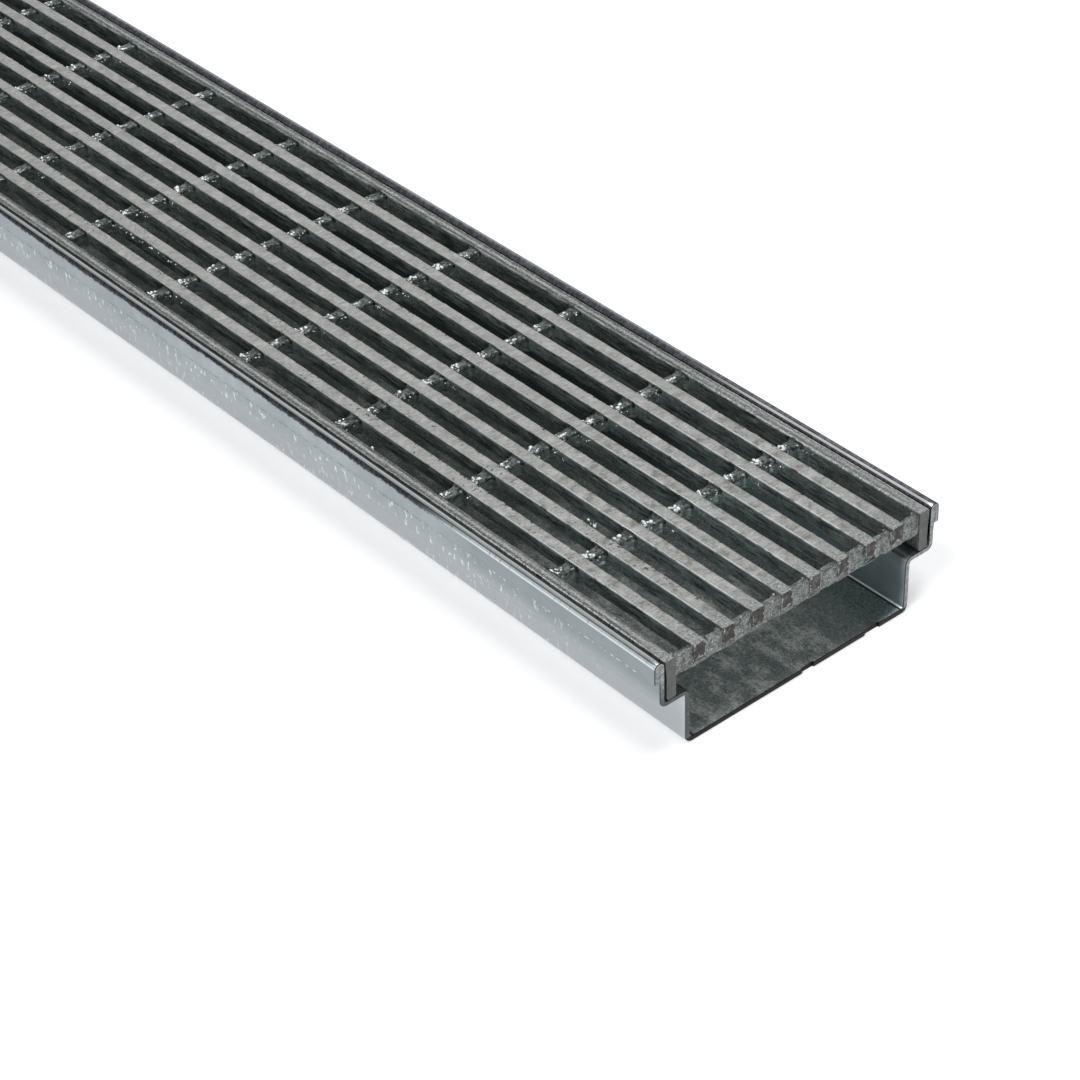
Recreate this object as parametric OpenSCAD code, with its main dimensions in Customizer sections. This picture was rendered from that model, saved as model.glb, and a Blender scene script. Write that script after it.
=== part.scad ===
// Drainage channel with a lift-out longitudinal bar grate.
// A trough is folded from one galvanised steel sheet, and a welded grate
// rests on the two shelves that the folds leave inside it.
// X runs across the channel, Y along it, Z up. The origin lies at the
// middle of the underside. Lengths are in millimetres.

/* [Channel] */
// Length of the trough
channel_l = 1000; // [400:10:2000]
// Width across the folded rims
channel_w = 130; // [110:1:220]
// Height from the underside to the top of the rims
channel_h = 40; // [34:1:120]
// Thickness of the sheet
sheet_t = 2; // [1.2:0.1:2.5]
// Inside radius of the folds
fold_r = 1; // [0.6:0.1:1.2]
// Step outwards from the lower wall to the upper wall
step_w = 11; // [9.5:0.5:18]

/* [Rim] */
// Height of the strip that is folded outwards and down
rim_h = 8; // [5:0.5:12]
// Gap left inside the closed fold
rim_gap = 0.2; // [0.1:0.05:1]
// Rise of the rims above the edge flats of the grate
rim_rise = 1; // [0:0.1:4]

/* [Base edge] */
// Depth of the two holding nicks in the near edge of the base
nick_d = 0.8; // [0.4:0.1:2]
// Width of the larger nick
nick_wide = 7; // [3:0.5:10]
// Width of the smaller nick
nick_narrow = 5.5; // [3:0.5:10]
// Place of the larger nick across the channel
nick_wide_x = 34.5; // [30:0.5:40]
// Place of the smaller nick across the channel
nick_narrow_x = 4; // [-20:1:20]

/* [Edge flats] */
// Height of the two flats that stand on the shelves
flat_h = 16; // [13:0.5:20]
// Thickness of the flats
flat_t = 4; // [3:0.5:6]
// Rolled corner radius of the flats
flat_r = 1; // [0.5:0.1:1.4]
// Clearance between each flat and the wall beside it
side_clear = 1; // [0.2:0.1:1.5]
// Clearance between the grate and each end of the channel
end_clear = 0; // [0:0.5:5]

/* [Bars] */
// Width of a longitudinal bar
bar_w = 5; // [3:0.5:6]
// Height of a longitudinal bar
bar_h = 6; // [4:0.5:8]
// Rolled corner radius of the bars
bar_r = 0.6; // [0.2:0.1:1.2]
// Drop from the top of the flats to the top of the bars
bar_drop = 0; // [0:0.1:3]

/* [Cross bars] */
// Width of a cross bar
cross_w = 5; // [3:0.5:8]
// Height of a cross bar
cross_h = 6; // [4.6:0.2:7]
// Rolled corner radius of the cross bars
cross_r = 1.2; // [0.4:0.1:1.4]
// Drop from the top of the bars to the top of the cross bars
cross_drop = 1; // [0.8:0.1:3]

/* [End bars] */
// Thickness of the bar that closes each end of the grate
end_t = 3; // [2:0.5:6]
// Height of the end bars
end_h = 8; // [6.5:0.5:9]
// Corner radius of the end bars
end_r = 0.5; // [0.2:0.1:0.9]
// Drop from the top of the bars to the top of the end bars
end_drop = 1; // [0.5:0.1:2]

/* [Hidden] */
$fn = 48;

// Overrun of a cut past the face that it opens
over = 1;

// The grate is welded from this many pieces
bar_count = 8;
cross_count = 16;

// Half widths of the trough, to each face of its two walls
rim_t = 2 * sheet_t + rim_gap;
upper_out = channel_w / 2 - sheet_t - rim_gap;
upper_in = upper_out - sheet_t;
lower_in = upper_in - step_w;
lower_out = lower_in + sheet_t;

// Levels of the trough and of the grate in it
shelf_z = channel_h - rim_rise - flat_h;
flat_top = shelf_z + flat_h;
bar_top = flat_top - bar_drop;
cross_top = bar_top - cross_drop;
end_top = bar_top - end_drop;

// Plan of the grate
grate_l = channel_l - 2 * end_clear;
grate_w = 2 * (upper_in - side_clear);
clear_w = grate_w - 2 * flat_t;
slot_w = (clear_w - bar_count * bar_w) / (bar_count + 1);
bar_pitch = bar_w + slot_w;
cross_pitch = (grate_l - end_t) / (cross_count + 1);

// Middle of bar i, counted from 1 at the left
function bar_x(i) = (i - (bar_count + 1) / 2) * bar_pitch;

// Middle of cross bar i, counted from 1 at the near end
function cross_y(i) = -(grate_l - end_t) / 2 + i * cross_pitch;

// Rectangle from one corner to the other in the plane of a section
module patch(x0, z0, x1, z1) {
  translate([x0, z0]) square([x1 - x0, z1 - z0]);
}

// Quarter ring of sheet about a fold: side is -1 left or 1 right, way -1 down or 1 up
module fold(x, z, side, way) {
  outer = fold_r + sheet_t;
  translate([x, z]) difference() {
    intersection() {
      circle(r = outer);
      quadrant(outer, side, way);
    }
    circle(r = fold_r);
  }
}

// Square of the given reach in the quadrant named by side and way
module quadrant(reach, side, way) {
  translate([side < 0 ? -reach : 0, way < 0 ? -reach : 0]) square(reach);
}

// Rectangle with round corners, centred across and hanging from its top
module rolled_section(w, top, h, r) {
  inset = w / 2 - r;
  patch(-inset, top - h, inset, top);
  patch(-w / 2, top - h + r, w / 2, top - r);
  for (x = [-inset, inset], z = [top - h + r, top - r])
    translate([x, z]) circle(r = r);
}

// Extrudes a section drawn in X and Z along Y, centred on the origin
module along_y(length) {
  translate([0, length / 2, 0]) rotate([90, 0, 0]) linear_extrude(length) children();
}

// Extrudes a section drawn in Y and Z along X, centred on the origin
module along_x(length) {
  translate([-length / 2, 0, 0]) rotate([90, 0, 90]) linear_extrude(length) children();
}

// Closed fold of the rim, with the strip that comes down outside the wall
module rim_section() {
  fold_x = upper_out + rim_gap / 2;
  fold_z = channel_h - rim_t / 2;
  return_in = upper_out + rim_gap;
  patch(return_in, channel_h - rim_h, return_in + sheet_t, fold_z);
  translate([fold_x, fold_z]) difference() {
    circle(d = rim_t);
    circle(d = rim_gap);
    patch(-rim_t, -rim_t, rim_t, 0);
  }
}

// Right half of the folded sheet, from the middle of the base to the rim
module half_section() {
  base_bend = lower_in - fold_r;
  shelf_bend = lower_out + fold_r;
  foot_bend = upper_in - fold_r;
  patch(0, 0, base_bend, sheet_t);
  fold(base_bend, sheet_t + fold_r, 1, -1);
  patch(lower_in, sheet_t + fold_r, lower_out, shelf_z - sheet_t - fold_r);
  fold(shelf_bend, shelf_z - sheet_t - fold_r, -1, 1);
  patch(shelf_bend, shelf_z - sheet_t, foot_bend, shelf_z);
  fold(foot_bend, shelf_z + fold_r, 1, -1);
  patch(upper_in, shelf_z + fold_r, upper_out, channel_h - rim_t / 2);
  rim_section();
}

// Holding nick in the near edge of the base
module nick(x, w) {
  translate([x - w / 2, -channel_l / 2 - over, -over])
    cube([w, nick_d + over, sheet_t + 2 * over]);
}

// Trough of one folded sheet, open at both ends
module channel() {
  color([0.66, 0.69, 0.71]) difference() {
    along_y(channel_l) {
      half_section();
      mirror([1, 0]) half_section();
    }
    nick(nick_wide_x, nick_wide);
    nick(nick_narrow_x, nick_narrow);
  }
}

// Flat that stands on a shelf and carries one side of the grate
module edge_flat(side) {
  color([0.55, 0.57, 0.56])
    translate([side * (grate_w - flat_t) / 2, 0, 0])
      along_y(grate_l) rolled_section(flat_t, flat_top, flat_h, flat_r);
}

// Plain form of one longitudinal bar
module bar_body(i) {
  translate([bar_x(i), 0, 0])
    along_y(grate_l) rolled_section(bar_w, bar_top, bar_h, bar_r);
}

// Longitudinal bar that the load is carried on
module bar(i) {
  color([0.68, 0.68, 0.66]) bar_body(i);
}

// Piece between the flats that is notched for every longitudinal bar
module notched_bar(y, w, top, h, r) {
  difference() {
    translate([0, y, 0]) along_x(clear_w) rolled_section(w, top, h, r);
    for (i = [1 : bar_count]) bar_body(i);
  }
}

// Cross bar that ties the longitudinal bars together
module cross_bar(i) {
  color([0.60, 0.62, 0.61])
    notched_bar(cross_y(i), cross_w, cross_top, cross_h, cross_r);
}

// Bar that closes one end of the grate around the ends of the bars
module end_bar(way) {
  color([0.46, 0.48, 0.47])
    notched_bar(way * (grate_l - end_t) / 2, end_t, end_top, end_h, end_r);
}

channel();
edge_flat(-1);  // edge_flat_left
edge_flat(1);  // edge_flat_right
bar(1);  // bar_1
bar(2);  // bar_2
bar(3);  // bar_3
bar(4);  // bar_4
bar(5);  // bar_5
bar(6);  // bar_6
bar(7);  // bar_7
bar(8);  // bar_8
cross_bar(1);  // cross_bar_01
cross_bar(2);  // cross_bar_02
cross_bar(3);  // cross_bar_03
cross_bar(4);  // cross_bar_04
cross_bar(5);  // cross_bar_05
cross_bar(6);  // cross_bar_06
cross_bar(7);  // cross_bar_07
cross_bar(8);  // cross_bar_08
cross_bar(9);  // cross_bar_09
cross_bar(10);  // cross_bar_10
cross_bar(11);  // cross_bar_11
cross_bar(12);  // cross_bar_12
cross_bar(13);  // cross_bar_13
cross_bar(14);  // cross_bar_14
cross_bar(15);  // cross_bar_15
cross_bar(16);  // cross_bar_16
end_bar(-1);  // end_bar_near
end_bar(1);  // end_bar_far
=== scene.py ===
"""Looks of a galvanised drainage channel with a lift-out grate of long bars.

The channel is one folded sheet. The grate in it is welded from two edge flats, eight long
bars, the cross bars that tie them and a bar across each end. Every piece here stands for the
CAD node of its own name, at the same place and size, with the relief and the finish that a
zinc bath leaves; light, shade, highlights and reflections are also painted into some colours.
X runs across the channel, Y along it, Z up, in metres.
"""

from __future__ import annotations

import logging
import math
from collections.abc import Iterable, Mapping, Sequence
from dataclasses import dataclass, field
from enum import Enum
from typing import Any

import bpy
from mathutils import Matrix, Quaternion, Vector


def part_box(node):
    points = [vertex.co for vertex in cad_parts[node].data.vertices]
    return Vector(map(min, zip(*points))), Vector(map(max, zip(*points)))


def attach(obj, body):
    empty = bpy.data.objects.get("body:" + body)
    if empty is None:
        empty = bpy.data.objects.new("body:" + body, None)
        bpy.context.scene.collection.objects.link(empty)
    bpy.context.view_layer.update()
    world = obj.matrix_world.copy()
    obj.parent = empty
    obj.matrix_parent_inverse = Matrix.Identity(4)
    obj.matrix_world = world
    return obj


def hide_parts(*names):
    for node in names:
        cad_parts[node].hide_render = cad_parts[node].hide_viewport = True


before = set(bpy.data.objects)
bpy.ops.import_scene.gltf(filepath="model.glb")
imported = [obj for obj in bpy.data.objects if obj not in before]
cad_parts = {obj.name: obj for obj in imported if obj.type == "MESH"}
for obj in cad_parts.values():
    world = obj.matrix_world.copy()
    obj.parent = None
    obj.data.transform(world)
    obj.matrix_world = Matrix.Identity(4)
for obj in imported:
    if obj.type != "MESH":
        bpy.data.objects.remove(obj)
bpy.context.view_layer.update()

LOG = logging.getLogger("channel_drain")

Colour = tuple[float, float, float]
Point = tuple[float, float, float]
Pair = tuple[float, float]

# An input is fed by a socket, or by a plain number, colour or vector
Socket = bpy.types.NodeSocket
Value = Socket | float
Shade = Socket | Colour
Arrow = Socket | Point

MM = 0.001
BODY = "root"


class Slot(Enum):
    """Finish slots, by their names."""

    SHEET = "sheet_zinc"
    FLAT = "flat_zinc"
    BAR = "ground_bar"
    CROSS = "cross_zinc"
    END = "rough_zinc"


class Side(Enum):
    """Side of the channel, as the sign of X."""

    LEFT = -1
    RIGHT = 1


class NodeBench:
    """Adds nodes to one tree and joins them with short calls."""

    def __init__(self, tree: bpy.types.NodeTree) -> None:
        """Takes the tree to work on.

        Args:
            tree: A shader or geometry tree.
        """
        self.tree = tree

    def node(
        self,
        kind: str,
        inputs: Mapping[str | int, Any] | None = None,
        **settings: Any,
    ) -> bpy.types.Node:
        """Adds a node, sets it up and feeds its inputs.

        Args:
            kind: Type name of the node.
            inputs: Value or source socket for each input, by name or number.
            **settings: Properties of the node itself.

        Returns:
            The new node.
        """
        made = self.tree.nodes.new(kind)
        for name, value in settings.items():
            setattr(made, name, value)
        for key, value in (inputs or {}).items():
            self.feed(made.inputs[key], value)
        return made

    def first(
        self,
        kind: str,
        inputs: Mapping[str | int, Any] | None = None,
        **settings: Any,
    ) -> Socket:
        """Adds a node in the same way and returns its first output's socket."""
        return self.node(kind, inputs, **settings).outputs[0]

    def feed(self, socket: Socket, value: Any) -> None:
        """Joins a source to an input, or writes a plain value there.

        Args:
            socket: The input.
            value: An output socket or a value.
        """
        if isinstance(value, Socket):
            self.tree.links.new(value, socket)
        else:
            socket.default_value = value

    def maths(self, operation: str, first: Value, second: Value = 0.0) -> Socket:
        """Adds a Math node.

        Args:
            operation: Its operation.
            first: First operand.
            second: Second operand.

        Returns:
            The result's socket.
        """
        return self.first("ShaderNodeMath", {0: first, 1: second}, operation=operation)

    def plus(self, first: Value, second: Value) -> Socket:
        """Adds two numbers."""
        return self.maths("ADD", first, second)

    def minus(self, first: Value, second: Value) -> Socket:
        """Takes the second number from the first."""
        return self.maths("SUBTRACT", first, second)

    def size(self, value: Value) -> Socket:
        """Gives a number without its sign."""
        return self.maths("ABSOLUTE", value)

    def product(self, *factors: Value) -> Value:
        """Multiplies two or more values.

        Args:
            *factors: The values.

        Returns:
            The result's socket.
        """
        total = factors[0]
        for factor in factors[1:]:
            total = self.maths("MULTIPLY", total, factor)
        return total

    def vector_maths(self, operation: str, first: Arrow, second: Arrow) -> Socket:
        """Adds a Vector Math node and returns its vector output."""
        return self.first("ShaderNodeVectorMath", {0: first, 1: second}, operation=operation)

    def scaled(self, vector: Arrow, factor: Value) -> Socket:
        """Scales a vector by a number and returns the result's socket."""
        return self.first("ShaderNodeVectorMath", {0: vector, "Scale": factor}, operation="SCALE")

    def combine(self, x: Value, y: Value, z: Value) -> Socket:
        """Joins three numbers into a vector and returns its socket."""
        return self.first("ShaderNodeCombineXYZ", {0: x, 1: y, 2: z})

    def split(self, vector: Socket) -> tuple[Socket, Socket, Socket]:
        """Returns the three parts of a vector."""
        outputs = self.node("ShaderNodeSeparateXYZ", {0: vector}).outputs
        return outputs[0], outputs[1], outputs[2]

    def rise(self, value: Value, low: float, high: float) -> Socket:
        """Goes smoothly from 0 at low to 1 at high, or down where low is the larger.

        Args:
            value: The number that is followed.
            low: Value at which the result is 0.
            high: Value at which the result is 1.

        Returns:
            The result's socket.
        """
        start, end = (0.0, 1.0) if low < high else (1.0, 0.0)
        return self.first(
            "ShaderNodeMapRange",
            {0: value, 1: min(low, high), 2: max(low, high), 3: start, 4: end},
            interpolation_type="SMOOTHSTEP",
        )

    def band(self, value: Value, low: float, high: float, edge: float) -> Value:
        """Is 1 between low and high and 0 outside, with soft edges.

        Args:
            value: The number that is followed.
            low: Start of the band.
            high: End of the band.
            edge: Width of each soft edge, outside the band.

        Returns:
            The result's socket.
        """
        return self.product(self.rise(value, low - edge, low), self.rise(value, high + edge, high))

    def noise(
        self, place: Socket, size: float, detail: float = 2.0, roughness: float = 0.5
    ) -> Socket:
        """Adds a noise of a given grain.

        Args:
            place: Vector at which it is read.
            size: Length of one wave, in metres.
            detail: Number of finer layers.
            roughness: Share of each finer layer.

        Returns:
            Socket of a value about 0.5.
        """
        return self.first(
            "ShaderNodeTexNoise",
            {"Vector": place, "Scale": 1.0 / size, "Detail": detail, "Roughness": roughness},
        )

    def spots(
        self,
        place: Socket,
        size: float,
        low: float,
        high: float,
        detail: float = 2.0,
        roughness: float = 0.5,
    ) -> Socket:
        """Goes from 0 to 1 where a noise passes from low to high.

        Args:
            place: Vector at which the noise is read.
            size: Length of one wave, in metres.
            low: Noise at which the result is 0.
            high: Noise at which the result is 1.
            detail: Number of finer layers.
            roughness: Share of each finer layer.

        Returns:
            The result's socket.
        """
        return self.rise(self.noise(place, size, detail, roughness), low, high)

    def blend(self, factor: Value, first: Shade, second: Shade) -> Socket:
        """Mixes two colours.

        Args:
            factor: Share of the second colour.
            first: First colour.
            second: Second colour.

        Returns:
            The mixed colour's socket.
        """
        made = self.node("ShaderNodeMix", {0: factor}, data_type="RGBA", clamp_factor=True)
        for socket, value in ((made.inputs[6], first), (made.inputs[7], second)):
            self.feed(socket, value if isinstance(value, Socket) else (*value, 1.0))
        return made.outputs[2]

    def coat(self, base: Shade, colour: Shade, *shares: Value) -> Socket:
        """Lays a colour over another where all of some shares are high.

        Args:
            base: Colour so far.
            colour: Colour that is laid over it.
            *shares: Masks and strengths from 0 to 1, which are multiplied.

        Returns:
            The new colour's socket.
        """
        return self.blend(self.product(*shares), base, colour)

    def lerp(self, factor: Value, first: Value, second: Value) -> Socket:
        """Mixes two numbers by a factor and returns the result's socket."""
        return self.first("ShaderNodeMapRange", {0: factor, 1: 0.0, 2: 1.0, 3: first, 4: second})


class Canvas(NodeBench):
    """Bench of a material, with the place that its patterns follow.

    Attributes:
        place: Object coordinates.
        axes: Their three parts.
    """

    def __init__(self, tree: bpy.types.NodeTree) -> None:
        """Takes the material's tree and adds the coordinates.

        Args:
            tree: An empty shader tree.
        """
        super().__init__(tree)
        self.place = self.node("ShaderNodeTexCoord").outputs["Object"]
        self.axes = self.split(self.place)


class Tint:
    """Colours of the finishes in single places, named for what lies there; several paint light, shade,
    highlights or reflections, as their names say.
    """

    GLARE_HIGHLIGHT: Colour = (1.0, 1.0, 1.0)
    GLEAM_HIGHLIGHT: Colour = (0.95, 1.0, 1.0)
    FLECK_GLINT: Colour = (0.95, 0.97, 1.0)
    WALL_NEAR: Colour = (0.30, 0.34, 0.355)
    WALL_LOW_LIT: Colour = (0.44, 0.475, 0.495)
    WALL_FOOT_LIT: Colour = (0.62, 0.655, 0.68)
    RIM_SHADOW_DASH: Colour = (0.08, 0.09, 0.10)
    BASE_SPECK: Colour = (0.72, 0.73, 0.70)
    BASE_PORE: Colour = (0.07, 0.085, 0.082)
    LINING: Colour = (0.58, 0.69, 0.73)
    LINING_PALE: Colour = (0.66, 0.78, 0.82)
    CREASE_SHADE: Colour = (0.03, 0.035, 0.04)
    DEPTHS_SHADE: Colour = (0.03, 0.04, 0.038)
    LEDGE_SHADE: Colour = (0.04, 0.05, 0.048)
    DARK_REFLECTION_MOTTLE: Colour = (0.13, 0.135, 0.15)
    CROWN_DARK_REFLECTION: Colour = (0.09, 0.095, 0.105)
    CROWN_PALE_REFLECTION: Colour = (0.24, 0.245, 0.26)
    CREVICE_SHADE: Colour = (0.015, 0.017, 0.018)
    SHEARED_SHADE_LINE: Colour = (0.03, 0.03, 0.032)
    SHEARED_DULL: Colour = (0.26, 0.27, 0.275)
    SHEARED_SHADE: Colour = (0.05, 0.06, 0.058)
    SHEARED_FOOT: Colour = (0.02, 0.018, 0.017)
    GRAIN_AND_SHADE: Colour = (0.06, 0.075, 0.07)
    SIDE_LIT: Colour = (0.62, 0.70, 0.68)
    STREAK_GLINT: Colour = (0.78, 0.88, 0.86)
    BEFORE_TIE_LIT: Colour = (0.55, 0.63, 0.62)
    SPOT_GLINT: Colour = (0.75, 0.83, 0.82)
    BEHIND_TIE_SHADE: Colour = (0.03, 0.04, 0.037)
    TOP_DULL: Colour = (0.27, 0.27, 0.245)
    TOP_WORN: Colour = (0.68, 0.68, 0.66)
    GRIT: Colour = (0.16, 0.165, 0.155)
    PIT: Colour = (0.04, 0.05, 0.045)
    BITE: Colour = (0.06, 0.07, 0.065)
    BAR_EDGE_HIGHLIGHT: Colour = (0.86, 0.89, 0.90)
    LUMP_DARK: Colour = (0.20, 0.215, 0.205)
    LUMP_PALE: Colour = (0.56, 0.575, 0.56)
    STEEL_STAIN: Colour = (0.17, 0.17, 0.165)
    FLAT_SHADE_STRIP: Colour = (0.10, 0.11, 0.105)
    FLAT_FLECK: Colour = (0.78, 0.80, 0.78)
    FLAT_PORE: Colour = (0.08, 0.085, 0.08)
    FLAT_EDGE_HIGHLIGHT: Colour = (0.88, 0.91, 0.90)
    VEIN: Colour = (0.02, 0.025, 0.023)
    TIE_SIDE_LIT: Colour = (0.24, 0.28, 0.27)
    TIE_SIDE_LIT_PALE: Colour = (0.46, 0.53, 0.51)


@dataclass(frozen=True)
class Ground:
    """Band of a finish that was ground or brushed bright on top.

    Attributes:
        level: Height above which the metal is ground.
        pale: Its colour where the grinding took all the zinc bloom.
        deep: Its colour in the marks.
        roughness: Its roughness.
    """

    level: float
    pale: Colour
    deep: Colour
    roughness: float


@dataclass(frozen=True)
class ZincFinish:
    """Hot-dip zinc, mottled and slightly uneven.

    Attributes:
        name: Name of the material.
        pale: Colour of the bright patches.
        deep: Colour of the dull patches.
        roughness: Roughness of the bright patches.
        dulling: Roughness that the dull patches add.
        metallic: Share of metal against oxide bloom.
        patch: Size of a patch.
        grain: Size of the fine grain.
        relief: Depth of the grain.
        stretch: Scale of the patches along each axis, larger for shorter patches.
        end: Half length of the piece along the channel.
        near_run: Distances from the near end at which its own look begins and is full.
    """

    name: str
    pale: Colour
    deep: Colour
    roughness: float = 0.34
    dulling: float = 0.2
    metallic: float = 0.9
    patch: float = 14 * MM
    grain: float = 0.9 * MM
    relief: float = 0.06 * MM
    stretch: Point = (1.0, 1.0, 1.0)
    end: float = 500 * MM
    near_run: Pair = (130 * MM, 85 * MM)

    def material(self) -> bpy.types.Material:
        """Builds the material.

        Returns:
            A node material that reads Object coordinates alone.
        """
        made = bpy.data.materials.new(self.name)
        made.use_nodes = True
        made.node_tree.nodes.clear()
        on = Canvas(made.node_tree)
        patches = self.patches(on)
        tone = self.tone(on, on.blend(patches, self.deep, self.pale))
        rough = self.polish(on, on.lerp(patches, self.roughness + self.dulling, self.roughness))
        bump = on.first(
            "ShaderNodeBump",
            {"Height": self.height(on), "Distance": self.relief, "Strength": 1.0},
        )
        shader = on.first(
            "ShaderNodeBsdfPrincipled",
            {
                "Base Color": tone,
                "Roughness": rough,
                "Metallic": self.metal(on),
                "Specular IOR Level": self.sheen(on),
                "Normal": bump,
            },
        )
        on.node("ShaderNodeOutputMaterial", {0: shader})
        return made

    def patches(self, on: Canvas) -> Socket:
        """Gives the share of bright zinc, from broad clouds and small spangles.

        Args:
            on: Canvas of the material.

        Returns:
            Socket of a value from 0 to 1.
        """
        spread = on.vector_maths("MULTIPLY", on.place, self.stretch)
        clouds = on.noise(spread, self.patch, 4.0, 0.6)
        spangle = on.noise(spread, self.patch / 6, 3.0, 0.7)
        both = on.lerp(0.35, clouds, spangle)
        return on.rise(both, 0.36, 0.64)

    def near(self, on: Canvas) -> Socket:
        """Gives 1 on the last stretch of the near end and 0 further in.

        Args:
            on: Canvas of the material.

        Returns:
            The result's socket.
        """
        _, y, _ = on.axes
        start, full = self.near_run
        return on.rise(y, -self.end + start, -self.end + full)

    def tone(self, on: Canvas, base: Socket) -> Socket:
        """Lets a finish change the colour by place. This one keeps it."""
        return base

    def polish(self, on: Canvas, base: Socket) -> Socket:
        """Lets a finish change the roughness by place. This one keeps it."""
        return base

    def metal(self, on: Canvas) -> Value:
        """Lets a finish change the share of metal by place. This one keeps it."""
        return self.metallic

    def sheen(self, on: Canvas) -> Value:
        """Lets a finish change the sheen of its oxide by place. This one keeps it."""
        return 0.5

    def height(self, on: Canvas) -> Socket:
        """Gives the height of the fine grain, from 0 to 1.

        Args:
            on: Canvas of the material.

        Returns:
            The height's socket.
        """
        coarse = on.noise(on.place, self.grain * 4, 2.0)
        fine = on.noise(on.place, self.grain, 3.0, 0.6)
        return on.lerp(0.5, coarse, fine)


@dataclass(frozen=True)
class SheetFinish(ZincFinish):
    """Zinc of the folded sheet: faint runs down its walls and a duller inside, with painted light and shade
    on the walls and inside, and painted reflections and highlights on the rims.

    Attributes:
        half_in: Half width inside the lower walls.
        shelf: Height of the shelves.
        top: Height of the rims.
        rim_in: Distance from the middle to the rim's inner face.
        rim_h: Height of the strip folded down outside.
        sheet: Thickness of the sheet.
        inside: Colour of the duller inside.
        inside_pale: Colour of its paler clouds.
        dark_reflection: Colour of the dark band on the rims, a painted reflection.
        pale_reflection: Colour of the pale line beside it, a painted reflection.
        cut: Colour of the sheared edges.
        nicks: Middle and width of each nick.
        nick: Colour in the nicks.
    """

    half_in: float = 49.8 * MM
    shelf: float = 23 * MM
    top: float = 40 * MM
    rim_in: float = 60.8 * MM
    rim_h: float = 8 * MM
    sheet: float = 2 * MM
    near_run: Pair = (125 * MM, 85 * MM)
    inside: Colour = (0.17, 0.20, 0.195)
    inside_pale: Colour = (0.47, 0.495, 0.47)
    dark_reflection: Colour = (0.045, 0.048, 0.056)
    pale_reflection: Colour = (0.49, 0.52, 0.505)
    cut: Colour = (0.52, 0.55, 0.56)
    nicks: tuple[Pair, ...] = ()
    nick: Colour = (0.02, 0.015, 0.012)

    def tone(self, on: Canvas, base: Socket) -> Socket:
        """Adds the walls' painted light and glints, the duller inside with its painted shade, the rims'
        painted reflections, highlights and shade, the cut edges and the nicks.

        Args:
            on: Canvas of the material.
            base: Colour so far.

        Returns:
            The colour's socket.
        """
        base = self.walls(on, base)
        base = self.within(on, base)
        base = self.rims(on, base)
        return self.edges(on, base)

    def walls(self, on: Canvas, base: Socket) -> Socket:
        """Adds painted light that makes the lower walls and their foot paler, pale flecks that paint
        glints, and a broken line of painted shadow and glints at the rims' lower edges.

        Args:
            on: Canvas of the material.
            base: Colour so far.

        Returns:
            The colour's socket.
        """
        _, y, z = on.axes
        near = self.near(on)
        base = on.coat(base, Tint.WALL_NEAR, near, 0.85)
        # Painted light: the lower walls and their foot are coloured paler where the step and the floor
        # shade them.
        base = on.coat(base, Tint.WALL_LOW_LIT, on.rise(z, self.shelf + 6 * MM, self.shelf - 1 * MM))
        foot = on.rise(z, self.shelf - 0.5 * MM, self.shelf - 3 * MM)
        base = on.coat(base, Tint.WALL_FOOT_LIT, foot, 0.9)
        # Painted glints: pale vertical flecks on the lower part of the walls, away from the near end.
        drawn = on.combine(0.0, y, on.product(z, 0.45))
        flecks = on.spots(drawn, 1.9 * MM, 0.58, 0.66, 2.0, 0.6)
        where = on.product(
            on.spots(on.combine(2.0, y, on.product(z, 2.0)), 38 * MM, 0.36, 0.48, 2.0),
            on.rise(z, self.top - 7 * MM, self.top - 9 * MM),
            on.rise(y, -self.end + 25 * MM, -self.end + 80 * MM),
        )
        base = on.coat(base, Tint.FLECK_GLINT, flecks, where, 0.65)
        # A broken line at each rim's lower edge: dark dashes of painted shadow, with white dots of painted
        # glints near the near end.
        level = self.top - self.rim_h
        line = on.band(z, level + 0.05 * MM, level + 0.5 * MM, 0.15 * MM)
        dashes = on.noise(on.combine(0.0, y, 3.0), 2.6 * MM, 2.0, 0.6)
        dark = on.product(line, on.rise(dashes, 0.47, 0.55), on.lerp(near, 0.85, 0.2))
        base = on.coat(base, Tint.RIM_SHADOW_DASH, dark)
        dots = on.product(line, on.rise(dashes, 0.50, 0.60), near)
        return on.coat(base, Tint.GLARE_HIGHLIGHT, dots)

    def within(self, on: Canvas, base: Socket) -> Socket:
        """Adds the duller inside under the grate, mottled on the base, with painted shade further in, at
        the base's folds and under the shelves, and a painted highlight beside the folds.

        Args:
            on: Canvas of the material.
            base: Colour so far.

        Returns:
            The colour's socket.
        """
        x, y, z = on.axes
        across = on.size(x)
        inner = on.product(
            on.rise(across, self.half_in + 0.4 * MM, self.half_in + 0.1 * MM),
            on.rise(z, 0.6 * MM, 1.4 * MM),
        )
        flat = on.rise(z, self.sheet + 0.8 * MM, self.sheet + 0.2 * MM)
        clouds = on.noise(on.combine(x, on.product(y, 0.5), z), 7 * MM, 5.0, 0.75)
        mottle = on.product(on.rise(clouds, 0.42, 0.66), on.rise(x, 34 * MM, 14 * MM))
        shade = on.blend(mottle, self.inside, self.inside_pale)
        grains = on.noise(on.place, 0.75 * MM, 2.0, 0.8)
        specks = on.rise(grains, 0.52, 0.68)
        shade = on.coat(shade, Tint.BASE_SPECK, specks, on.lerp(mottle, 0.25, 0.9))
        shade = on.coat(shade, Tint.BASE_PORE, on.rise(grains, 0.44, 0.32))
        plain = on.blend(on.rise(clouds, 0.42, 0.66), Tint.LINING, Tint.LINING_PALE)
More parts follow.
